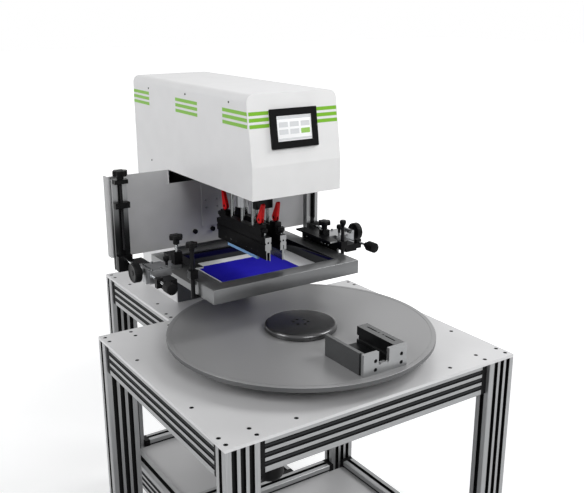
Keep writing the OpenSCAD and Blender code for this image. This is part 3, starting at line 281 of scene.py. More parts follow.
def powderWithBands(name, dark, light, axis, runs):
    material = powderCoat(name, dark, light)
    tree = material.node_tree
    shader = tree.nodes["Principled BSDF"]
    base = shader.inputs["Base Color"].links[0].from_socket
    coord = addNode(tree, "ShaderNodeTexCoord")
    parts = addNode(tree, "ShaderNodeSeparateXYZ", {"Vector": coord.outputs["Object"]})
    half = bands["barHeight"] / 2
    bars = runMask(tree, parts.outputs["Z"], [(z - half, z + half) for z in bands["barCentres"]])
    lengths = runMask(tree, parts.outputs[axis], runs)
    both = addNode(tree, "ShaderNodeMath", {0: bars, 1: lengths}, operation="MULTIPLY").outputs[0]
    mix = addNode(tree, "ShaderNodeMix", {0: both, 6: base, 7: bands["green"]}, data_type="RGBA")
    tree.links.new(mix.outputs[2], shader.inputs["Base Color"])
    return material


finishes = {
    "profile": anodised("anodised_profile", (1, 1, 0.02)),
    "bar": anodised("anodised_bar", (0.03, 0.03, 1)),
    "slot": slotBlack(),
    # the grey rib stands in for the dimly lit slot floor: painted light
    "stripGrey": blackMoulding("slot_strip_rib_painted_light", "#303133", "#353638", 0.6),
    "blackPlastic": blackMoulding(),
    "knobBlack": blackMoulding("moulded_knob_black", "#09090a", "#101011", 0.36),
    "plate": groundPlate(),
    "coverWhite": powderCoat("powder_white", "#dfdfe0", "#e2e2e3"),
    "headWhite": powderWithBands("powder_white_side_bands", "#e2e2e3", "#e5e5e6", "Y", bands["sideRuns"]),
    "frontWhite": powderWithBands("powder_white_front_bands", "#ececec", "#efefef", "X", bands["frontRuns"]),
    "sheetGrey": powderCoat("powder_grey", "#adadae", "#b3b3b4", 0.4),
    "gearBlack": powderCoat("cast_housing_black", "#0f0f10", "#151516", 0.45, 0.12),
    "motorBlack": powderCoat("motor_paint_black", "#0c0c0d", "#121213", 0.38, 0.12),
    "disc": turnedFace("turned_disc_alloy", "#8d8d8e", "#909091", 0.3, 0.36, "#4c4d4e"),
    "hub": turnedFace("turned_hub_dark", "#464647", "#4c4c4d", 0.8, 0.22),
    "jig": satinAlloy("satin_jig_alloy", "#58595a", "#5d5e5f", 0.7, 0.25),
    "jigFace": satinAlloy("satin_jig_face", "#8f9091", "#959697", 0.6, 0.34),
    "railAlloy": railProfile(),
    "frameAlloy": satinAlloy("frame_box_section", "#6a6b6c", "#6f7071", 0.75, 0.3),
    # inner walls of the screen frame, painted darker as painted shade
    "frameInnerShade": satinAlloy("frame_inner_walls_painted_shade", "#3b3c3e", "#3f4042", 1.0, 0.12),
    "steel": groundSteel(),
    "brightSteel": groundSteel("polished_steel", "#6a6c6d", "#777979", 0.12),
    "chrome": groundSteel("chromed_steel", "#c4c6c7", "#d2d4d5", 0.1),
    "blackAlloy": blackAnodised(),
    "darkAlloy": blackAnodised("dark_anodised", "#1a1b1c", "#222324", 0.3, 0.4),
    "greyAlloy": satinAlloy("grey_anodised_block", "#8a8b8d", "#929395", 0.75, 0.28),
    "bareEnd": sawnAlloy("sawn_alloy_end", "#929394", "#a2a3a4", 0, 0.8, 0.5, 0.4),
    "oxide": blackAnodised("black_oxide_steel", "#131314", "#1c1c1e", 0.3, 0.2),
    "blade": blueUrethane(),
    "red": redNylon(),
    "rubber": blackMoulding("rubber_foot", "#151516", "#1d1d1f", 0.7),
    # grey paint of the inner frame; on the column's front the same grey is painted shade
    "frameGrey": powderCoat("frame_paint_grey_and_painted_shade", "#55575b", "#606266", 0.45),
}
print("materials ready:", len(finishes))

# CAD nodes whose shape is right keep it and take their finish
carried = {
    "joint_blocks": "blackPlastic", "table_plates": "plate", "table_screws": "oxide", "levelling_feet": "rubber",
    "index_gearbox": "gearBlack", "turntable_spindle": "steel", "turntable_disc": "disc",
    "jig_end_plate": "jigFace", "jig_screws": "oxide",
    "inner_frame": "frameGrey", "back_plate": "sheetGrey", "centre_plate": "sheetGrey",
    "head_cover": "headWhite", "head_front_panel": "frontWhite", "cover_fittings": "oxide",
    "panel_bezel": "blackPlastic", "stroke_unit": "steel", "stroke_carriage": "darkAlloy",
    "lift_cylinders": "greyAlloy", "squeegee_blade": "blade", "flood_blade": "steel",
    "left_height_slide": "blackAlloy", "right_height_slide": "blackAlloy",
    "left_y_stage": "greyAlloy", "right_y_stage": "greyAlloy",
}
for node, finish in carried.items():
    for slot in nodes[node].material_slots:
        slot.material = finishes[finish]

# shape tools: parts are drawn in mm and joined into one mesh
sharpFrom = 32  # degrees
flatNormal = 0.9995  # a face this close to an axis is flat, and isn't smoothed
facing, sideways = 0.9, 0.5  # how much of a normal lies along an axis
turns = {
    "Z": Matrix(), "-Z": Matrix.Rotation(math.pi, 4, "X"),
    "X": Matrix.Rotation(math.pi / 2, 4, "Y"), "-X": Matrix.Rotation(-math.pi / 2, 4, "Y"),
    "Y": Matrix.Rotation(-math.pi / 2, 4, "X"), "-Y": Matrix.Rotation(math.pi / 2, 4, "X"),
}


def bevelEdges(part, edges, width, segments):
    bmesh.ops.bevel(part, geom=edges, offset=width, offset_type="OFFSET", affect="EDGES", segments=segments,
                    profile=0.5, material=-1)


def blockPart(low, high, edge=0.0, segments=2):
    part = bmesh.new()
    low, high = Vector(low), Vector(high)
    bmesh.ops.create_cube(part, size=1)
    bmesh.ops.scale(part, vec=high - low, verts=part.verts)
    bmesh.ops.translate(part, vec=(low + high) / 2, verts=part.verts)
    if edge:
        bevelEdges(part, list(part.edges), edge, segments)
    return part


# a profile of (radius, height) points, spun round the upright axis
def turnedPart(profile, steps):
    part = bmesh.new()
    points = [part.verts.new((r, 0, z)) for r, z in profile]
    lines = [part.edges.new(pair) for pair in zip(points, points[1:])]
    bmesh.ops.spin(part, geom=points + lines, cent=(0, 0, 0), axis=(0, 0, 1), angle=2 * math.pi, steps=steps,
                   use_merge=True)
    bmesh.ops.remove_doubles(part, verts=part.verts, dist=0.001)
    return part


def extrudeUp(part, faces, height):
    made = bmesh.ops.extrude_face_region(part, geom=faces)["geom"]
    bmesh.ops.translate(part, vec=(0, 0, height), verts=[v for v in made if isinstance(v, bmesh.types.BMVert)])


# a round plate whose rim is drawn in and out: lobes of a star grip or teeth of a knurl
def lobedPart(radius, height, lobes, depth, edge, count, power=1.0):
    part = bmesh.new()
    bmesh.ops.create_circle(part, cap_ends=True, radius=radius, segments=count)
    for vert in part.verts:
        wave = 0.5 + 0.5 * math.cos(lobes * math.atan2(vert.co.y, vert.co.x))
        vert.co *= 1 - depth / radius * (1 - wave ** power)
    extrudeUp(part, list(part.faces), height)
    if edge:
        rims = [e for e in part.edges if abs(e.verts[0].co.z - e.verts[1].co.z) < 0.01]
        bevelEdges(part, rims, edge, 3)
    return part


def placed(point, axis="Z"):
    return Matrix.Translation(point) @ turns[axis]


def addPart(whole, part, matrix=None, finish=0):
    if matrix is not None:
        bmesh.ops.transform(part, matrix=matrix, verts=part.verts)
    bmesh.ops.recalc_face_normals(part, faces=part.faces)
    for face in part.faces:
        face.material_index = finish
        face.smooth = True
    holder = bpy.data.meshes.new("holder")
    part.to_mesh(holder)
    part.free()
    whole.from_mesh(holder)
    bpy.data.meshes.remove(holder)


def keepPiece(whole, name, finishNames, node, scale=mm, replace=True):
    if scale != 1:
        bmesh.ops.scale(whole, vec=(scale, scale, scale), verts=whole.verts)
    mesh = bpy.data.meshes.new(name)
    whole.to_mesh(mesh)
    whole.free()
    if "custom_normal" in mesh.attributes:  # a merged copy would keep the loose mesh's normals
        mesh.attributes.remove(mesh.attributes["custom_normal"])
    mesh.set_sharp_from_angle(angle=math.radians(sharpFrom))
    for finish in finishNames:
        mesh.materials.append(finishes[finish])
    piece = bpy.data.objects.new(name, mesh)
    bpy.context.scene.collection.objects.link(piece)
    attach(piece, bodyOf[node])
    if replace:
        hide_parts(node)
    return piece


# a merged copy of a CAD mesh: choose gives a face its finish, from its centre in mm and its normal
def dressCopy(node, name, finishNames, choose, change=None):
    whole = bmesh.new()
    whole.from_mesh(nodes[node].data)
    bmesh.ops.remove_doubles(whole, verts=whole.verts, dist=1e-6)
    for face in whole.faces:
        face.material_index = int(choose(face.calc_center_median() / mm, face.normal))
        face.smooth = max(abs(v) for v in face.normal) < flatNormal
    if change:
        change(whole)
    keepPiece(whole, name, finishNames, node, 1)


# both tables are one frame on six legs; inside their slots the profiles are painted black, partly as a PVC strip,
# partly as painted shade
tables = {
    "legs": ((-405, -610), (405, -610), (-405, 90), (405, 90), (-180, 610), (180, 610)),
    "heights": (140, 797),
    "acrossRuns": ((-599, 343.5), (79, 343.5), (146, 156.5), (599, 117.5)),
    "alongRuns": ((421.5, -571, 51), (196.5, 119, 570)),
}
profile = {"halfWide": 45, "halfDeep": 22.5, "skin": 0.6, "corner": 2.5, "slotPitch": 22.5}


def insideProfile(u, v):
    wide, deep = profile["halfWide"] - profile["skin"], profile["halfDeep"] - profile["skin"]
    inside = abs(u) < wide and abs(v) < deep
    corner = abs(u) > wide - profile["corner"] and abs(v) > deep - profile["corner"]
    return inside and not corner


def onLegSlot(point, normal):
    x, y = min(tables["legs"], key=lambda p: abs(p[0] - point.x) + abs(p[1] - point.y))
    return abs(normal.z) < sideways and insideProfile(point.x - x, point.y - y)


def onBeamSlot(point, normal):
    up = point.z - min(tables["heights"], key=lambda h: abs(h - point.z))
    reach = profile["halfDeep"] + 0.1
    for y, half in tables["acrossRuns"]:
        if abs(point.x) < half and abs(point.y - y) < reach and abs(normal.x) < facing:
            return insideProfile(up, point.y - y)
    for x, low, high in tables["alongRuns"]:
        if low < point.y < high and abs(abs(point.x) - x) < reach and abs(normal.y) < facing:
            return insideProfile(up, abs(point.x) - x)
    return False


dressCopy("table_legs", "leg_profiles", ("profile", "slot"), onLegSlot)
dressCopy("table_beams", "beam_profiles", ("bar", "slot"), onBeamSlot)

# the black strips that fill the slots of the beams, partly painted shade under the lips, each with a grey rib that
# stands in for the dimly lit slot floor as painted light: half width, bottom and top depth
strip = {"slot": (6.72, 3.8, 2.8), "stripGrey": (2.0, 3.0, 1.6)}


def coverStrip(whole, run, span, normal, sign, face, centre):
    for finish, (half, deep, top) in enumerate(strip.values()):
        low, high = [0, 0, 0], [0, 0, 0]
        low[run], high[run] = span
        low[3 - run - normal], high[3 - run - normal] = centre - half, centre + half
        low[normal], high[normal] = sorted((face - sign * deep, face - sign * top))
        addPart(whole, blockPart(low, high), None, finish)


strips = bmesh.new()
for sign in (-1, 1):
    toFace = sign * profile["halfDeep"]
    for height in [z + i * profile["slotPitch"] for z in tables["heights"] for i in (-1, 0, 1)]:
        for y, half in tables["acrossRuns"]:
            coverStrip(strips, 0, (-half, half), 1, sign, y + toFace, height)
        for x, low, high in tables["alongRuns"]:
            for side in (-1, 1):
                coverStrip(strips, 1, (low, high), 0, sign, side * x + toFace, height)
keepPiece(strips, "slot_strips", tuple(strip), "table_beams", replace=False)

# hub: the six drilled holes, rings round their mouths and the groove under its rim are painted black, as painted
# shade
hubSet = {"centre": (0, -260), "holeCircle": 20, "holeHalf": 3.6, "rim": (3.3, 4.7), "top": 920, "lipTop": 905}


def onHubHole(point, normal):
    away = math.hypot(point.x - hubSet["centre"][0], point.y - hubSet["centre"][1])
    inHole = abs(away - hubSet["holeCircle"]) < hubSet["holeHalf"] and point.z < hubSet["top"] - 0.2
    return inHole or (point.z < hubSet["lipTop"] and abs(normal.z) < sideways)


# black rings at the hole mouths widen the painted shade of the holes
def addHoleRims(hub):
    inner, outer = hubSet["rim"]
    for i in range(6):
        angle = math.radians(30 + 60 * i)
        x, y = (hubSet["holeCircle"] * f(angle) for f in (math.cos, math.sin))
        rim = turnedPart([(inner, -0.2), (inner, 0.04), (outer, 0.04), (outer, -0.2)], 28)
        bmesh.ops.scale(rim, vec=(mm, mm, mm), verts=rim.verts)
        addPart(hub, rim, placed((x * mm, (hubSet["centre"][1] + y) * mm, hubSet["top"] * mm)), 1)


dressCopy("hub_cap", "hub_with_holes", ("hub", "slot"), onHubHole, addHoleRims)

# jig: satin outside, dark on the inner faces and the floor where the product lies
jigSet = {"floorTop": 925, "inwards": {"jig_body": 1, "jig_side_block": -1}}


def onJigInside(node, point, normal):
    onFloor = node == "jig_body" and normal.z > facing and point.z < jigSet["floorTop"]
    return normal.x * jigSet["inwards"][node] > facing or onFloor


for node in jigSet["inwards"]:
    dressCopy(node, node + "_milled", ("jig", "darkAlloy"), lambda point, normal: onJigInside(node, point, normal))

# column: white sides; its front behind the frame is painted grey, as painted shade
column = {"paintedShadeBefore": 237}
dressCopy("column_cover", "column_shell", ("coverWhite", "frameGrey"),
          lambda point, normal: normal.y < -facing and point.y < column["paintedShadeBefore"])

# vertical rails: a deep groove runs down the front, its walls painted black as painted shade, the screw's block
# sits at the top
railSet = {"x": 336, "grooveHalf": 7.6, "grooveFront": 168.5, "blockRear": 167.4}


def railFinish(point, normal):
    if point.y < railSet["blockRear"]:
        return 2
    inGroove = abs(abs(point.x) - railSet["x"]) < railSet["grooveHalf"]
    return point.y > railSet["grooveFront"] and abs(normal.z) < sideways and inGroove


dressCopy("side_rails", "rail_profiles", ("railAlloy", "slot", "blackAlloy"), railFinish)
print("tables and rails dressed")

# print unit: black bars with bare sawn ends and bright rods
unit = {"y": -9, "x": {"squeegee": -35, "flood": 15}, "half": 140, "barZ": 1141, "rodsAbove": 18.5, "rodR": 6.1,
        "rodY": (-60, 0, 60), "jawRise": 4}


def onBarEnd(point, normal):
    return abs(normal.y) > facing and abs(point.y - unit["y"]) > unit["half"] - 0.5


def onRod(unitName, point):
    x = unit["x"][unitName]
    atRod = any(math.hypot(point.x - x, point.y - unit["y"] - y) < unit["rodR"] for y in unit["rodY"])
    return point.z > unit["barZ"] + unit["rodsAbove"] and atRod


# the left jaw ends higher, so that the blade stands out of it
def raiseJaw(holder):
    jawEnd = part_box("squeegee_holder")[0].z
    for vert in holder.verts:
        if vert.co.x < (unit["x"]["squeegee"] - 3) * mm and vert.co.z < jawEnd + 0.4 * mm:
            vert.co.z += unit["jawRise"] * mm


for unitName, change in (("squeegee", raiseJaw), ("flood", None)):
    dressCopy(unitName + "_holder", unitName + "_bar_holder", ("blackAlloy", "bareEnd"), onBarEnd, change)
for unitName in unit["x"]:
    dressCopy(unitName + "_lift_bar", unitName + "_bar_with_rods", ("blackAlloy", "brightSteel"),
              lambda point, normal: onRod(unitName, point))

# clamp channels: black, with a bare front end and a grey bar under the stage
clampSet = {"endBefore": -101, "endInside": 249, "barOutside": 262, "barBelow": 1071}


def clampFinish(point, normal):
    if abs(point.x) > clampSet["barOutside"] and point.z < clampSet["barBelow"]:
        return 2
    return normal.y < -facing and point.y < clampSet["endBefore"] and abs(point.x) < clampSet["endInside"]


for side, s in sides:
    dressCopy(side + "_frame_clamp", side + "_clamp_channel", ("blackAlloy", "bareEnd", "greyAlloy"), clampFinish)
print("print unit and clamps dressed")


# moulded grips on steel screws
starKnob = {"lobes": 6, "depth": 0.17, "edge": 0.1, "crown": 1.2}


def addStar(whole, point, radius, height, neck):
    x, y, z = point
    crown = starKnob["crown"]
    lobed = lobedPart(radius, height - crown, starKnob["lobes"], radius * starKnob["depth"],
                      radius * starKnob["edge"], 96, 0.8)
    addPart(whole, lobed, placed(point))
    hub = [(0, 0), (radius * 0.38, 0), (radius * 0.45, 1.6), (radius * 0.45, neck + 0.5), (0, neck + 0.5)]
    addPart(whole, turnedPart(hub, 40), placed((x, y, z - neck)))
    cap = [(radius * 0.46, 0), (radius * 0.42, crown * 0.7), (radius * 0.34, crown), (0, crown)]
    addPart(whole, turnedPart(cap, 40), placed((x, y, z + height - crown - 0.03)))


# a knurled cap: the foot and the crown are turned profiles, the knurl stands between them
def addKnurledCap(whole, point, radius, height, foot, crown, depth=0.5, edge=0.6):
    x, y, z = point
    knurlLow = z + foot[-1][1] - 0.2
    addPart(whole, turnedPart(foot, 40), placed(point))
    addPart(whole, lobedPart(radius, height, 24, depth, edge, 144), placed((x, y, knurlLow)))
    addPart(whole, turnedPart(crown, 40), placed((x, y, knurlLow + height - 0.1)))


def addRod(whole, point, axis, radius, length, chamfer=0.6):
    outline = [(0, 0), (radius - chamfer, 0), (radius, chamfer), (radius, length - chamfer),
               (radius - chamfer, length), (0, length)]
    addPart(whole, turnedPart(outline, 32), placed(point, axis), 1)


def addThread(whole, point, radius, length, pitch=1.5, depth=0.35):
    outline = [(0, 0), (radius - depth, 0)]
    for i in range(int(length / pitch)):
        outline += [(radius, (i + 0.35) * pitch), (radius, (i + 0.6) * pitch), (radius - depth, (i + 1) * pitch)]
    outline += [(radius - depth, length), (0, length)]
    addPart(whole, turnedPart(outline, 20), placed(point), 1)


def addSocketScrew(whole, point, axis, radius, height, finish=1):
    head = lobedPart(radius, height, 1, 0, 0, 28)
    bmesh.ops.recalc_face_normals(head, faces=head.faces)
    face = max(head.faces, key=lambda f: f.calc_center_median().z)
    bmesh.ops.inset_individual(head, faces=[face], thickness=radius * 0.12)
    bmesh.ops.translate(head, vec=(0, 0, radius * 0.12), verts=face.verts)
    bmesh.ops.inset_individual(head, faces=[face], thickness=radius * 0.36)
    bmesh.ops.inset_individual(head, faces=[face], thickness=0.02)
    bmesh.ops.translate(head, vec=(0, 0, -height * 0.6), verts=face.verts)
    addPart(whole, head, placed(point, axis), finish)


# grips of the frame holders, in mm; x is for the right side
holderSet = {
    "starX": 336, "starY": 158.5, "starZ": 1298, "starR": 22, "starT": 17, "starNeck": 10.5, "screwLow": 1079,
    "screwR": 4,
    "clampX": 253.5, "clampY": -17, "clampZ": {"left": 1140, "right": 1106}, "clampR": 20, "clampT": 14,
    "clampLow": 1073.6,
    "hookX": 253.5, "hookY": -111.5, "hookZ": 1142, "hookR": 17, "hookT": 13, "hookLow": 996,
    "hookCone": [(0, 0), (4.5, 0), (5, 8), (8, 14), (9.8, 18), (9.8, 24), (8, 27), (0, 27)], "hookConeZ": 1114,
    "lockX": 295, "lockY": -38, "lockLow": 1062.6, "lockGrip": 1078.6, "lockR": 8.5,
    "yX": 338, "yZ": 1052, "knurlFront": -163, "knurlLength": 45, "knurlR": 15.5, "yEnd": 161.5,
    "wheelX": 360, "wheelY": -15, "wheelZ": 1065.1, "wheelR": 27.5, "wheelT": 28, "xStart": 261.5,
}


def heightStar(side, s, h):
    knob = bmesh.new()
    x, y, z = s * h["starX"], h["starY"], h["starZ"]
    addStar(knob, (x, y, z), h["starR"], h["starT"], h["starNeck"])
    addThread(knob, (x, y, h["screwLow"]), h["screwR"], z - h["screwLow"] - h["starNeck"] + 1)
    keepPiece(knob, side + "_height_star", ("knobBlack", "oxide"), side + "_height_knob")


def clampStar(side, s, h):
    knob = bmesh.new()
    x, y, z = s * h["clampX"], h["clampY"], h["clampZ"][side]
    addStar(knob, (x, y, z), h["clampR"], h["clampT"], h["clampT"])
    addThread(knob, (x, y, h["clampLow"]), h["screwR"], z - h["clampLow"] - h["clampT"] + 1)
    keepPiece(knob, side + "_clamp_star", ("knobBlack", "steel"), side + "_clamp_knob")


# the left hook hangs on a star grip, the right one on a plain turned grip, a little lower
def hookStar(side, s, h):
    knob = bmesh.new()
    x, y, z, low = s * h["hookX"], h["hookY"], h["hookZ"], h["hookLow"]
    if side == "left":
        addStar(knob, (x, y, z), h["hookR"], h["hookT"], h["hookT"])
        addRod(knob, (x, y, low), "Z", 6, z - h["hookT"] - low + 1)
    else:
        addPart(knob, turnedPart(h["hookCone"], 40), placed((x, y, h["hookConeZ"])))
        addRod(knob, (x, y, low), "Z", 5.5, h["hookConeZ"] - low + 4)
    foot = blockPart((min(s * 224, x), y - 7, low), (max(s * 224, x), y + 7, low + 5.6), 1.2)
    addPart(knob, foot, None, 1)
    keepPiece(knob, side + "_hook_star", ("knobBlack", "oxide"), side + "_hook_knob")


def lockGrip(side, s, h):
    knob = bmesh.new()
    x, y, r = s * h["lockX"], h["lockY"], h["lockR"]
    foot = [(0, 0), (4, 0), (4, 10), (6.5, 13), (r - 0.2, 15.2), (0, 15.2)]
    crown = [(r - 0.8, 0), (r - 2, 1.8), (r - 3.4, 2.1), (0, 2.1)]
    addKnurledCap(knob, (x, y, h["lockGrip"]), r, 9, foot, crown)
    addRod(knob, (x, y, h["lockLow"]), "Z", 2.5, 22)
    keepPiece(knob, side + "_lock_grip", ("knobBlack", "steel"), side + "_lock_knob")


def yGrip(side, s, h):
    knob = bmesh.new()
    x, z, low, length, r = s * h["yX"], h["yZ"], h["knurlFront"], h["knurlLength"], h["knurlR"]
    addPart(knob, lobedPart(r, length - 14, 32, 0.7, 0.9, 192), placed((x, low, z), "Y"))
    tail = turnedPart([(0, 0), (r - 1.2, 0), (r * 0.62, 8), (r * 0.52, 14), (0, 14)], 48)
    addPart(knob, tail, placed((x, low + length - 14.2, z), "Y"))
    dish = turnedPart([(r - 3.5, 0), (r - 4.5, 0.35), (0, 0.35)], 48)
    addPart(knob, dish, placed((x, low + 0.1, z), "-Y"))
    addRod(knob, (x, low + length - 4, z), "Y", h["screwR"], h["yEnd"] - low - length + 4)
    keepPiece(knob, side + "_y_grip", ("knobBlack", "chrome"), side + "_y_knob")


def xHandwheel(side, s, h):
    knob = bmesh.new()
    axis = "X" if side == "right" else "-X"
    x, y, z, r, t = h["wheelX"], h["wheelY"], h["wheelZ"], h["wheelR"], h["wheelT"]
    addPart(knob, lobedPart(r, t - 10, 36, 0.6, 1.0, 216), placed((s * (x + 8), y, z), axis))
    back = turnedPart([(0, 0), (11, 0), (12, 5), (r - 3, 8.3), (0, 8.3)], 48)
    addPart(knob, back, placed((s * x, y, z), axis))
    dish = [(r - 1.5, 0), (r - 3.5, 1.9), (r - 6, 1.2), (r - 9, 0.6), (8, 0.6), (7, 1.9), (0, 1.9)]
    addPart(knob, turnedPart(dish, 48), placed((s * (x + t - 2), y, z), axis))
    addRod(knob, (s * h["xStart"], y, z), axis, h["screwR"], x - h["xStart"] + 3)
    keepPiece(knob, side + "_x_handwheel", ("knobBlack", "brightSteel"), side + "_x_wheel")


for side, s in sides:
    for makeGrip in (heightStar, clampStar, hookStar, lockGrip, yGrip, xHandwheel):
        makeGrip(side, s, holderSet)
print("grips ready")

# red clamp levers: a tapered nylon arm, forked over the bar's tab
lever = {"length": 50, "hubR": 12, "tipR": 4.5, "thick": 11, "slotHalf": 2.4, "slotTop": 8, "edge": 2.0, "pinR": 4,
         "z": 1185, "lean": {"front": 19, "rear": -17}, "y": {"front": -108, "rear": 90}}


def leverOutline():
    outline = bmesh.new()
    bmesh.ops.create_circle(outline, cap_ends=False, radius=1, segments=64)
    halfStep = Matrix.Rotation(math.pi / 64, 3, "Z")
    bmesh.ops.rotate(outline, cent=(0, 0, 0), matrix=halfStep, verts=outline.verts)
    for vert in outline.verts:
        isTip = vert.co.y > 0
        vert.co *= lever["tipR"] if isTip else lever["hubR"]
        if isTip:
            vert.co.y += lever["length"] - lever["tipR"]
    bmesh.ops.contextual_create(outline, geom=list(outline.edges))
    return outline


def leverCheek(isOuter):
    cheek = leverOutline()
    t = lever["thick"] / 2 - lever["slotHalf"]
    extrudeUp(cheek, list(cheek.faces), t)
    rimAt = t if isOuter else 0
    rims = [e for e in cheek.edges if all(abs(v.co.z - rimAt) < 0.01 for v in e.verts)]
    bevelEdges(cheek, rims, lever["edge"], 4)
    return cheek


def leverCore():
    core = leverOutline()
    extrudeUp(core, list(core.faces), 2 * lever["slotHalf"] + 0.1)
    geom = list(core.verts) + list(core.edges) + list(core.faces)
    cut = bmesh.ops.bisect_plane(core, geom=geom, plane_co=(0, lever["slotTop"], 0), plane_no=(0, 1, 0),
                                 clear_inner=True)["geom_cut"]
    bmesh.ops.contextual_create(core, geom=[e for e in cut if isinstance(e, bmesh.types.BMEdge)])
    return core


standing = Matrix.Rotation(math.pi / 2, 4, "Z") @ Matrix.Rotation(math.pi / 2, 4, "X")
for unitName, x in unit["x"].items():
    for end in ("front", "rear"):
        whole = bmesh.new()
        y, z, half = lever["y"][end], lever["z"], lever["thick"] / 2
        upright = Matrix.Rotation(math.radians(lever["lean"][end]), 4, "X") @ standing
        addPart(whole, leverCheek(False), Matrix.Translation((x - half, y, z)) @ upright)
        addPart(whole, leverCheek(True), Matrix.Translation((x + lever["slotHalf"], y, z)) @ upright)
        addPart(whole, leverCore(), Matrix.Translation((x - lever["slotHalf"] - 0.05, y, z)) @ upright)
        addRod(whole, (x - half - 1, y, z), "X", lever["pinR"], 2 * half + 2)
        keepPiece(whole, unitName + "_clamp_lever_" + end, ("red", "oxide"), unitName + "_lever_" + end)

thumb = {"squeegee": {"y": 120.5, "finish": "darkAlloy"}, "flood": {"y": -138.5, "finish": "knobBlack"},
         "low": 1146, "r": 10, "stemLow": 1127}
for unitName, x in unit["x"].items():
    whole = bmesh.new()
    y, r = thumb[unitName]["y"], thumb["r"]
    foot = [(0, 0), (6, 0), (6.5, 3), (r - 0.3, 7.2), (0, 7.2)]
    crown = [(r - 0.9, 0), (r - 2.2, 1.9), (r - 4, 2.1), (0, 2.1)]
    addKnurledCap(whole, (x, y, thumb["low"]), r, 8, foot, crown, 0.6, 0.7)
    addRod(whole, (x, y, thumb["stemLow"]), "Z", 3, 24)
    keepPiece(whole, unitName + "_thumb_grip", (thumb[unitName]["finish"], "steel"), unitName + "_thumb_knob")
print("levers ready")

# drive motor: fan cover, neck, finned shell, flange and terminal box, heights from its lower end
motor = {"x": -107.5, "y": -260, "low": 472, "r": 42, "fins": 30, "neckLow": 61, "finsLow": 68, "flangeLow": 240,
         "boxFrom": (40, -30, 90), "boxTo": (106, 30, 160), "boxScrewsY": (-22, 22), "boxScrewsZ": (98, 152)}


def onMotor(x, y, z):
    return (motor["x"] + x, motor["y"] + y, motor["low"] + z)


whole = bmesh.new()
r = motor["r"]
cover = [(0, 0), (28, 0), (36, 2.5), (40, 8), (r, 14), (r, 60), (39, 62), (0, 62)]
addPart(whole, turnedPart(cover, 64), placed(onMotor(0, 0, 0)))
shell = lobedPart(r, motor["flangeLow"] - motor["finsLow"], motor["fins"], 3.2, 0.5, motor["fins"] * 8, 0.6)
addPart(whole, shell, placed(onMotor(0, 0, motor["finsLow"])))
neck = turnedPart([(0, 0), (39, 0), (39, 8), (0, 8)], 64)
addPart(whole, neck, placed(onMotor(0, 0, motor["neckLow"])))
flange = turnedPart([(0, 0), (37.6, 0), (37.6, 10), (0, 10)], 64)
addPart(whole, flange, placed(onMotor(0, 0, motor["flangeLow"])))
addPart(whole, blockPart(onMotor(*motor["boxFrom"]), onMotor(*motor["boxTo"]), 3, 3))
for y in motor["boxScrewsY"]:
    for z in motor["boxScrewsZ"]:
        addSocketScrew(whole, onMotor(motor["boxTo"][0] - 0.8, y, z), "X", 3, 0.5)
keepPiece(whole, "motor_shell", ("motorBlack", "oxide"), "index_motor")
print("motor ready")

# screen frame: box section with softened edges and mitred corners
screen = {"w": 482, "d": 395, "h": 40, "bar": 50, "low": 1002.5, "y": -9, "edge": 1.2, "cloth": (432, 345)}


# the inner walls are smoother than the rest, and painted darker as painted shade
def onInnerWall(point, normal):
    halfW, halfD = screen["w"] / 2 - screen["bar"] + 1, screen["d"] / 2 - screen["bar"] + 1
    return abs(point.x) < halfW and abs(point.y - screen["y"]) < halfD and abs(normal.z) < sideways


whole = bmesh.new()
ring = bmesh.new()
bmesh.ops.create_cube(ring, size=1)
bmesh.ops.scale(ring, vec=(screen["w"], screen["d"], screen["h"]), verts=ring.verts)
caps = [f for f in ring.faces if abs(f.normal.z) > facing]
bmesh.ops.inset_individual(ring, faces=caps, thickness=screen["bar"], use_even_offset=True)
inner = [e for f in caps for e in f.edges]
bmesh.ops.delete(ring, geom=caps, context="FACES_ONLY")
bmesh.ops.bridge_loops(ring, edges=inner)
bmesh.ops.recalc_face_normals(ring, faces=ring.faces)
bevelEdges(ring, [e for e in ring.edges if e.calc_face_angle(0) > 1], screen["edge"], 3)
addPart(whole, ring, placed((0, screen["y"], screen["low"] + screen["h"] / 2)))
for face in whole.faces:
    face.material_index = int(onInnerWall(face.calc_center_median(), face.normal))
keepPiece(whole, "frame_box_section", ("frameAlloy", "frameInnerShade"), "screen_frame")

# threads are 0.1 mm apart on the real mesh, drawn 1.2 mm apart so that they show
stencil = {"x": (-132, 132), "y": (-122.5, 104.5), "threadMm": 1.2}


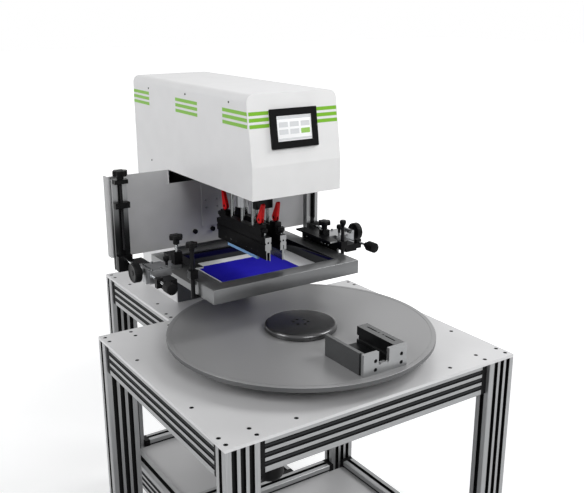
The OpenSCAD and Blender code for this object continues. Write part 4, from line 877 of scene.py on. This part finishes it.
# polyester mesh, stretched and glued under the frame, with the blue emulsion area of a stencil
def meshFabric():
    material, tree, shader = startMaterial("polyester_mesh_with_emulsion", "#c9cbcd", 0.0, 0.55,
                                           Specular_IOR_Level=0.12)
    point = objectPoint(tree)
    parts = addNode(tree, "ShaderNodeSeparateXYZ", {"Vector": point})
    across = runMask(tree, parts.outputs["X"], [stencil["x"]])
    along = runMask(tree, parts.outputs["Y"], [stencil["y"]])
    area = addNode(tree, "ShaderNodeMath", {0: across, 1: along}, operation="MULTIPLY").outputs[0]
    values = {"Vector": point, "Scale": 1 / (stencil["threadMm"] * mm * 20 / (2 * math.pi))}
    weave = [addNode(tree, "ShaderNodeTexWave", values, bands_direction=axis).outputs["Fac"] for axis in ("X", "Y")]
    cross = addNode(tree, "ShaderNodeMath", {0: weave[0], 1: weave[1]}, operation="MULTIPLY").outputs[0]
    threads = addNode(tree, "ShaderNodeMix", {0: cross, 6: "#dcdddf", 7: "#e8e9ea"}, data_type="RGBA").outputs[2]
    values = {"Vector": point, "Scale": 1 / (40 * mm), "Detail": 2.0}
    noise = addNode(tree, "ShaderNodeTexNoise", values).outputs["Fac"]
    emulsion = addNode(tree, "ShaderNodeMix", {0: noise, 6: "#17109c", 7: "#1d16aa"}, data_type="RGBA").outputs[2]
    mix = addNode(tree, "ShaderNodeMix", {0: area, 6: threads, 7: emulsion}, data_type="RGBA")
    tree.links.new(mix.outputs[2], shader.inputs["Base Color"])
    bump = addNode(tree, "ShaderNodeBump", {"Height": cross, "Distance": 0.03 * mm, "Strength": 0.3})
    tree.links.new(bump.outputs["Normal"], shader.inputs["Normal"])
    return material


finishes["mesh"] = meshFabric()
whole = bmesh.new()
cloth = bmesh.new()
bmesh.ops.create_grid(cloth, x_segments=24, y_segments=20, size=0.5)
bmesh.ops.scale(cloth, vec=(*screen["cloth"], 1), verts=cloth.verts)
addPart(whole, cloth, placed((0, screen["y"], screen["low"] - 0.25)))
fabric = keepPiece(whole, "stretched_screen", ("mesh",), "screen_mesh")

# touch screen: a glowing page of plain fields, on the leaning front panel
page = {"w": 107.6, "h": 65.6, "low": 3.5, "top": 5.5, "buttonX": (-34, 0, 34), "buttonY": (10, -9),
        "buttonSize": (28, 13), "green": (34, -9), "topBar": (0, 27.5, 104, 7), "lowBar": (0, -27.5, 104, 5)}
panelLean = {"foot": (0, -243.5, 1363), "run": 27, "rise": 183, "centre": (-5, 0, 93)}
finishes["page"] = startMaterial("display_page_white", "#f4f5f6", 0.0, 0.25, Emission_Strength=0.12)[0]
pageShader = finishes["page"].node_tree.nodes["Principled BSDF"]
pageShader.inputs["Emission Color"].default_value = hexLinear("#ffffff")
finishes["pageGrey"] = startMaterial("display_page_grey", "#dfe1e3", 0.0, 0.25)[0]
finishes["pageGreen"] = startMaterial("display_page_green", "#9ccc62", 0.0, 0.25)[0]
tilt = Matrix.Rotation(-math.atan(panelLean["run"] / panelLean["rise"]), 4, "X")
onLean = Matrix.Translation(panelLean["foot"]) @ tilt @ placed(panelLean["centre"], "-Y")
whole = bmesh.new()
w, h = page["w"] / 2, page["h"] / 2
addPart(whole, blockPart((-w, -h, page["low"]), (w, h, page["top"]), 0.3), onLean)
fields = [(*page["topBar"], 1)]
for x in page["buttonX"]:
    for y in page["buttonY"]:
        fields.append((x, y, *page["buttonSize"], 2 if (x, y) == page["green"] else 1))
fields.append((*page["lowBar"], 1))
for x, y, w, h, finish in fields:
    low, high = (x - w / 2, y - h / 2, page["top"] - 0.05), (x + w / 2, y + h / 2, page["top"] + 0.12)
    addPart(whole, blockPart(low, high, 0.05, 1), onLean, finish)
keepPiece(whole, "touch_display", ("page", "pageGrey", "pageGreen"), "touch_screen")
print("screen frame and touch screen ready")

# small fasteners that ride on what they hold
jaw = {"screws": 7, "z": 1090, "pitch": 30, "r": 1.9, "out": 6.4}
whole = bmesh.new()
for i in range(jaw["screws"]):
    y = unit["y"] + (i - (jaw["screws"] - 1) / 2) * jaw["pitch"]
    addSocketScrew(whole, (unit["x"]["squeegee"] - jaw["out"], y, jaw["z"]), "-X", jaw["r"], 0.3, 0)
keepPiece(whole, "jaw_screws", ("brightSteel",), "squeegee_holder", replace=False)

frontCap = {"y": -131, "low": 1151, "r": 8.5, "knurl": 7}
whole = bmesh.new()
x, y, r, low = unit["x"]["squeegee"], frontCap["y"], frontCap["r"], frontCap["low"]
addRod(whole, (x, y, unit["barZ"] - 0.4), "Z", 3, low - unit["barZ"] + 1)
foot = [(0, 0), (r * 0.7, 0), (r - 0.3, 2.2), (0, 2.2)]
crown = [(r - 0.8, 0), (r - 1.8, 1), (r * 0.5, 1.1), (r * 0.42, 0.3), (0, 0.3)]
addKnurledCap(whole, (x, y, low), r, frontCap["knurl"], foot, crown)
keepPiece(whole, "front_cap_screw", ("knobBlack", "brightSteel"), "squeegee_holder", replace=False)

holderScrews = {
    "y_stage": {"x": (312, 340), "y": (-38.2, 22.2), "z": 1070.4, "axis": {"left": "Z", "right": "Z"},
                "r": 4, "h": 3.6, "finish": "steel"},
    "height_slide": {"x": (351.5, 320.5), "y": (149.7,), "z": 1212.5, "axis": {"left": "-Y", "right": "-Y"},
                     "r": 4.5, "h": 3.2, "finish": "oxide"},
    "frame_clamp": {"x": (241.7,), "y": (-57, -38, -20, 60), "z": 1052, "axis": {"left": "X", "right": "-X"},
                    "r": 3, "h": 1.4, "finish": "chrome"},
}
for kind, screws in holderScrews.items():
    for side, s in sides:
        whole = bmesh.new()
        for x in screws["x"]:
            for y in screws["y"]:
                addSocketScrew(whole, (s * x, y, screws["z"]), screws["axis"][side], screws["r"], screws["h"], 0)
        node = side + "_" + kind
        keepPiece(whole, node + "_screws", (screws["finish"],), node, replace=False)
print("fasteners ready")

# floor, lights and camera; a lamp has its place, target, size in metres and watts
studio = {"world": 0.14, "floorNear": 0.52, "fadeFrom": 1.3, "fadeTo": 3.2,
          "right": ((2.7, -1.0, 3.6), (0.1, -0.2, 0.9), 1.8, 84),
          "front": ((-0.4, -3.5, 3.3), (0, 0, 1.1), 2.0, 76),
          "left": ((-3.4, 0.3, 3.0), (0, 0, 1.1), 2.0, 72)}
cameraSet = {"place": (-1.1807, -1.9899, 1.7669), "down": 16.721, "right": 33.642, "lens": 50, "sensor": 36}


# 1 for each of the named rays
def seenBy(tree, names):
    path = addNode(tree, "ShaderNodeLightPath")
    total = path.outputs[names[0]]
    for name in names[1:]:
        total = addNode(tree, "ShaderNodeMath", {0: total, 1: path.outputs[name]}, operation="MAXIMUM").outputs[0]
    return total


# the white background is only seen, it doesn't light
def worldLight():
    world = bpy.data.worlds.new("soft_studio")
    bpy.context.scene.world = world
    world.use_nodes = True
    tree = world.node_tree
    tree.nodes.clear()
    direction = addNode(tree, "ShaderNodeTexCoord").outputs["Generated"]
    height = addNode(tree, "ShaderNodeSeparateXYZ", {"Vector": direction}).outputs["Z"]
    rise = addNode(tree, "ShaderNodeMapRange", {"Value": height, "From Min": -1.0, "From Max": 1.0})
    ramp = addNode(tree, "ShaderNodeValToRGB", {"Fac": rise.outputs["Result"]})
    for element, place, grey in zip(ramp.color_ramp.elements, (0.35, 0.7), (0.5, 1.0)):
        element.position, element.color = place, (grey, grey, grey, 1)
    soft = addNode(tree, "ShaderNodeBackground", {"Color": ramp.outputs["Color"], "Strength": studio["world"]})
    white = addNode(tree, "ShaderNodeBackground", {"Color": "#ffffff", "Strength": 1.0})
    seen = seenBy(tree, ("Is Camera Ray", "Is Glossy Ray", "Is Transmission Ray"))
    mix = addNode(tree, "ShaderNodeMixShader", {0: seen, 1: soft.outputs[0], 2: white.outputs[0]})
    addNode(tree, "ShaderNodeOutputWorld", {"Surface": mix.outputs[0]})


def areaLight(name, place, target, size, watts):
    light = bpy.data.lights.new(name, "AREA")
    light.shape, light.size, light.energy = "DISK", size, watts
    lamp = bpy.data.objects.new(name, light)
    bpy.context.scene.collection.objects.link(lamp)
    lamp.location = place
    lamp.rotation_euler = (Vector(target) - Vector(place)).to_track_quat("-Z", "Y").to_euler()


# the far floor runs out into the white background, the near floor keeps the shadow
def paleFloor():
    material, tree, shader = startMaterial("studio_floor", "#d9dadb", 0.0, 0.6)
    shadeNoise(tree, shader, "#d7d8d9", "#dcddde", 400.0)
    coord = addNode(tree, "ShaderNodeTexCoord")
    away = addNode(tree, "ShaderNodeVectorMath", {0: coord.outputs["Object"]}, operation="LENGTH")
    values = {"Value": away.outputs["Value"], "From Min": studio["fadeFrom"], "From Max": studio["fadeTo"],
              "To Min": studio["floorNear"], "To Max": 1.0}
    fade = addNode(tree, "ShaderNodeMapRange", values, interpolation_type="SMOOTHSTEP")
    values = {0: seenBy(tree, ("Is Camera Ray", "Is Glossy Ray")), 1: fade.outputs["Result"]}
    level = addNode(tree, "ShaderNodeMath", values, operation="MULTIPLY")
    glow = addNode(tree, "ShaderNodeEmission", {"Color": "#ffffff", "Strength": level.outputs[0]})
    both = addNode(tree, "ShaderNodeAddShader", {0: shader.outputs[0], 1: glow.outputs[0]})
    tree.links.new(both.outputs[0], tree.nodes["Material Output"].inputs["Surface"])
    part = bmesh.new()
    bmesh.ops.create_grid(part, x_segments=2, y_segments=2, size=30)
    mesh = bpy.data.meshes.new("studio_floor")
    part.to_mesh(mesh)
    part.free()
    mesh.materials.append(material)
    floor = bpy.data.objects.new("studio_floor", mesh)
    bpy.context.scene.collection.objects.link(floor)


worldLight()
for name in ("right", "front", "left"):
    areaLight(name, *studio[name])
paleFloor()

camera = bpy.data.objects.new("camera", bpy.data.cameras.new("camera"))
bpy.context.scene.collection.objects.link(camera)
camera.data.lens, camera.data.sensor_width = cameraSet["lens"], cameraSet["sensor"]
camera.location = cameraSet["place"]
camera.rotation_euler = (math.radians(90 - cameraSet["down"]), 0, math.radians(-cameraSet["right"]))
bpy.context.scene.camera = camera
bpy.context.scene.view_settings.view_transform = "Standard"
print("floor, light and camera ready")
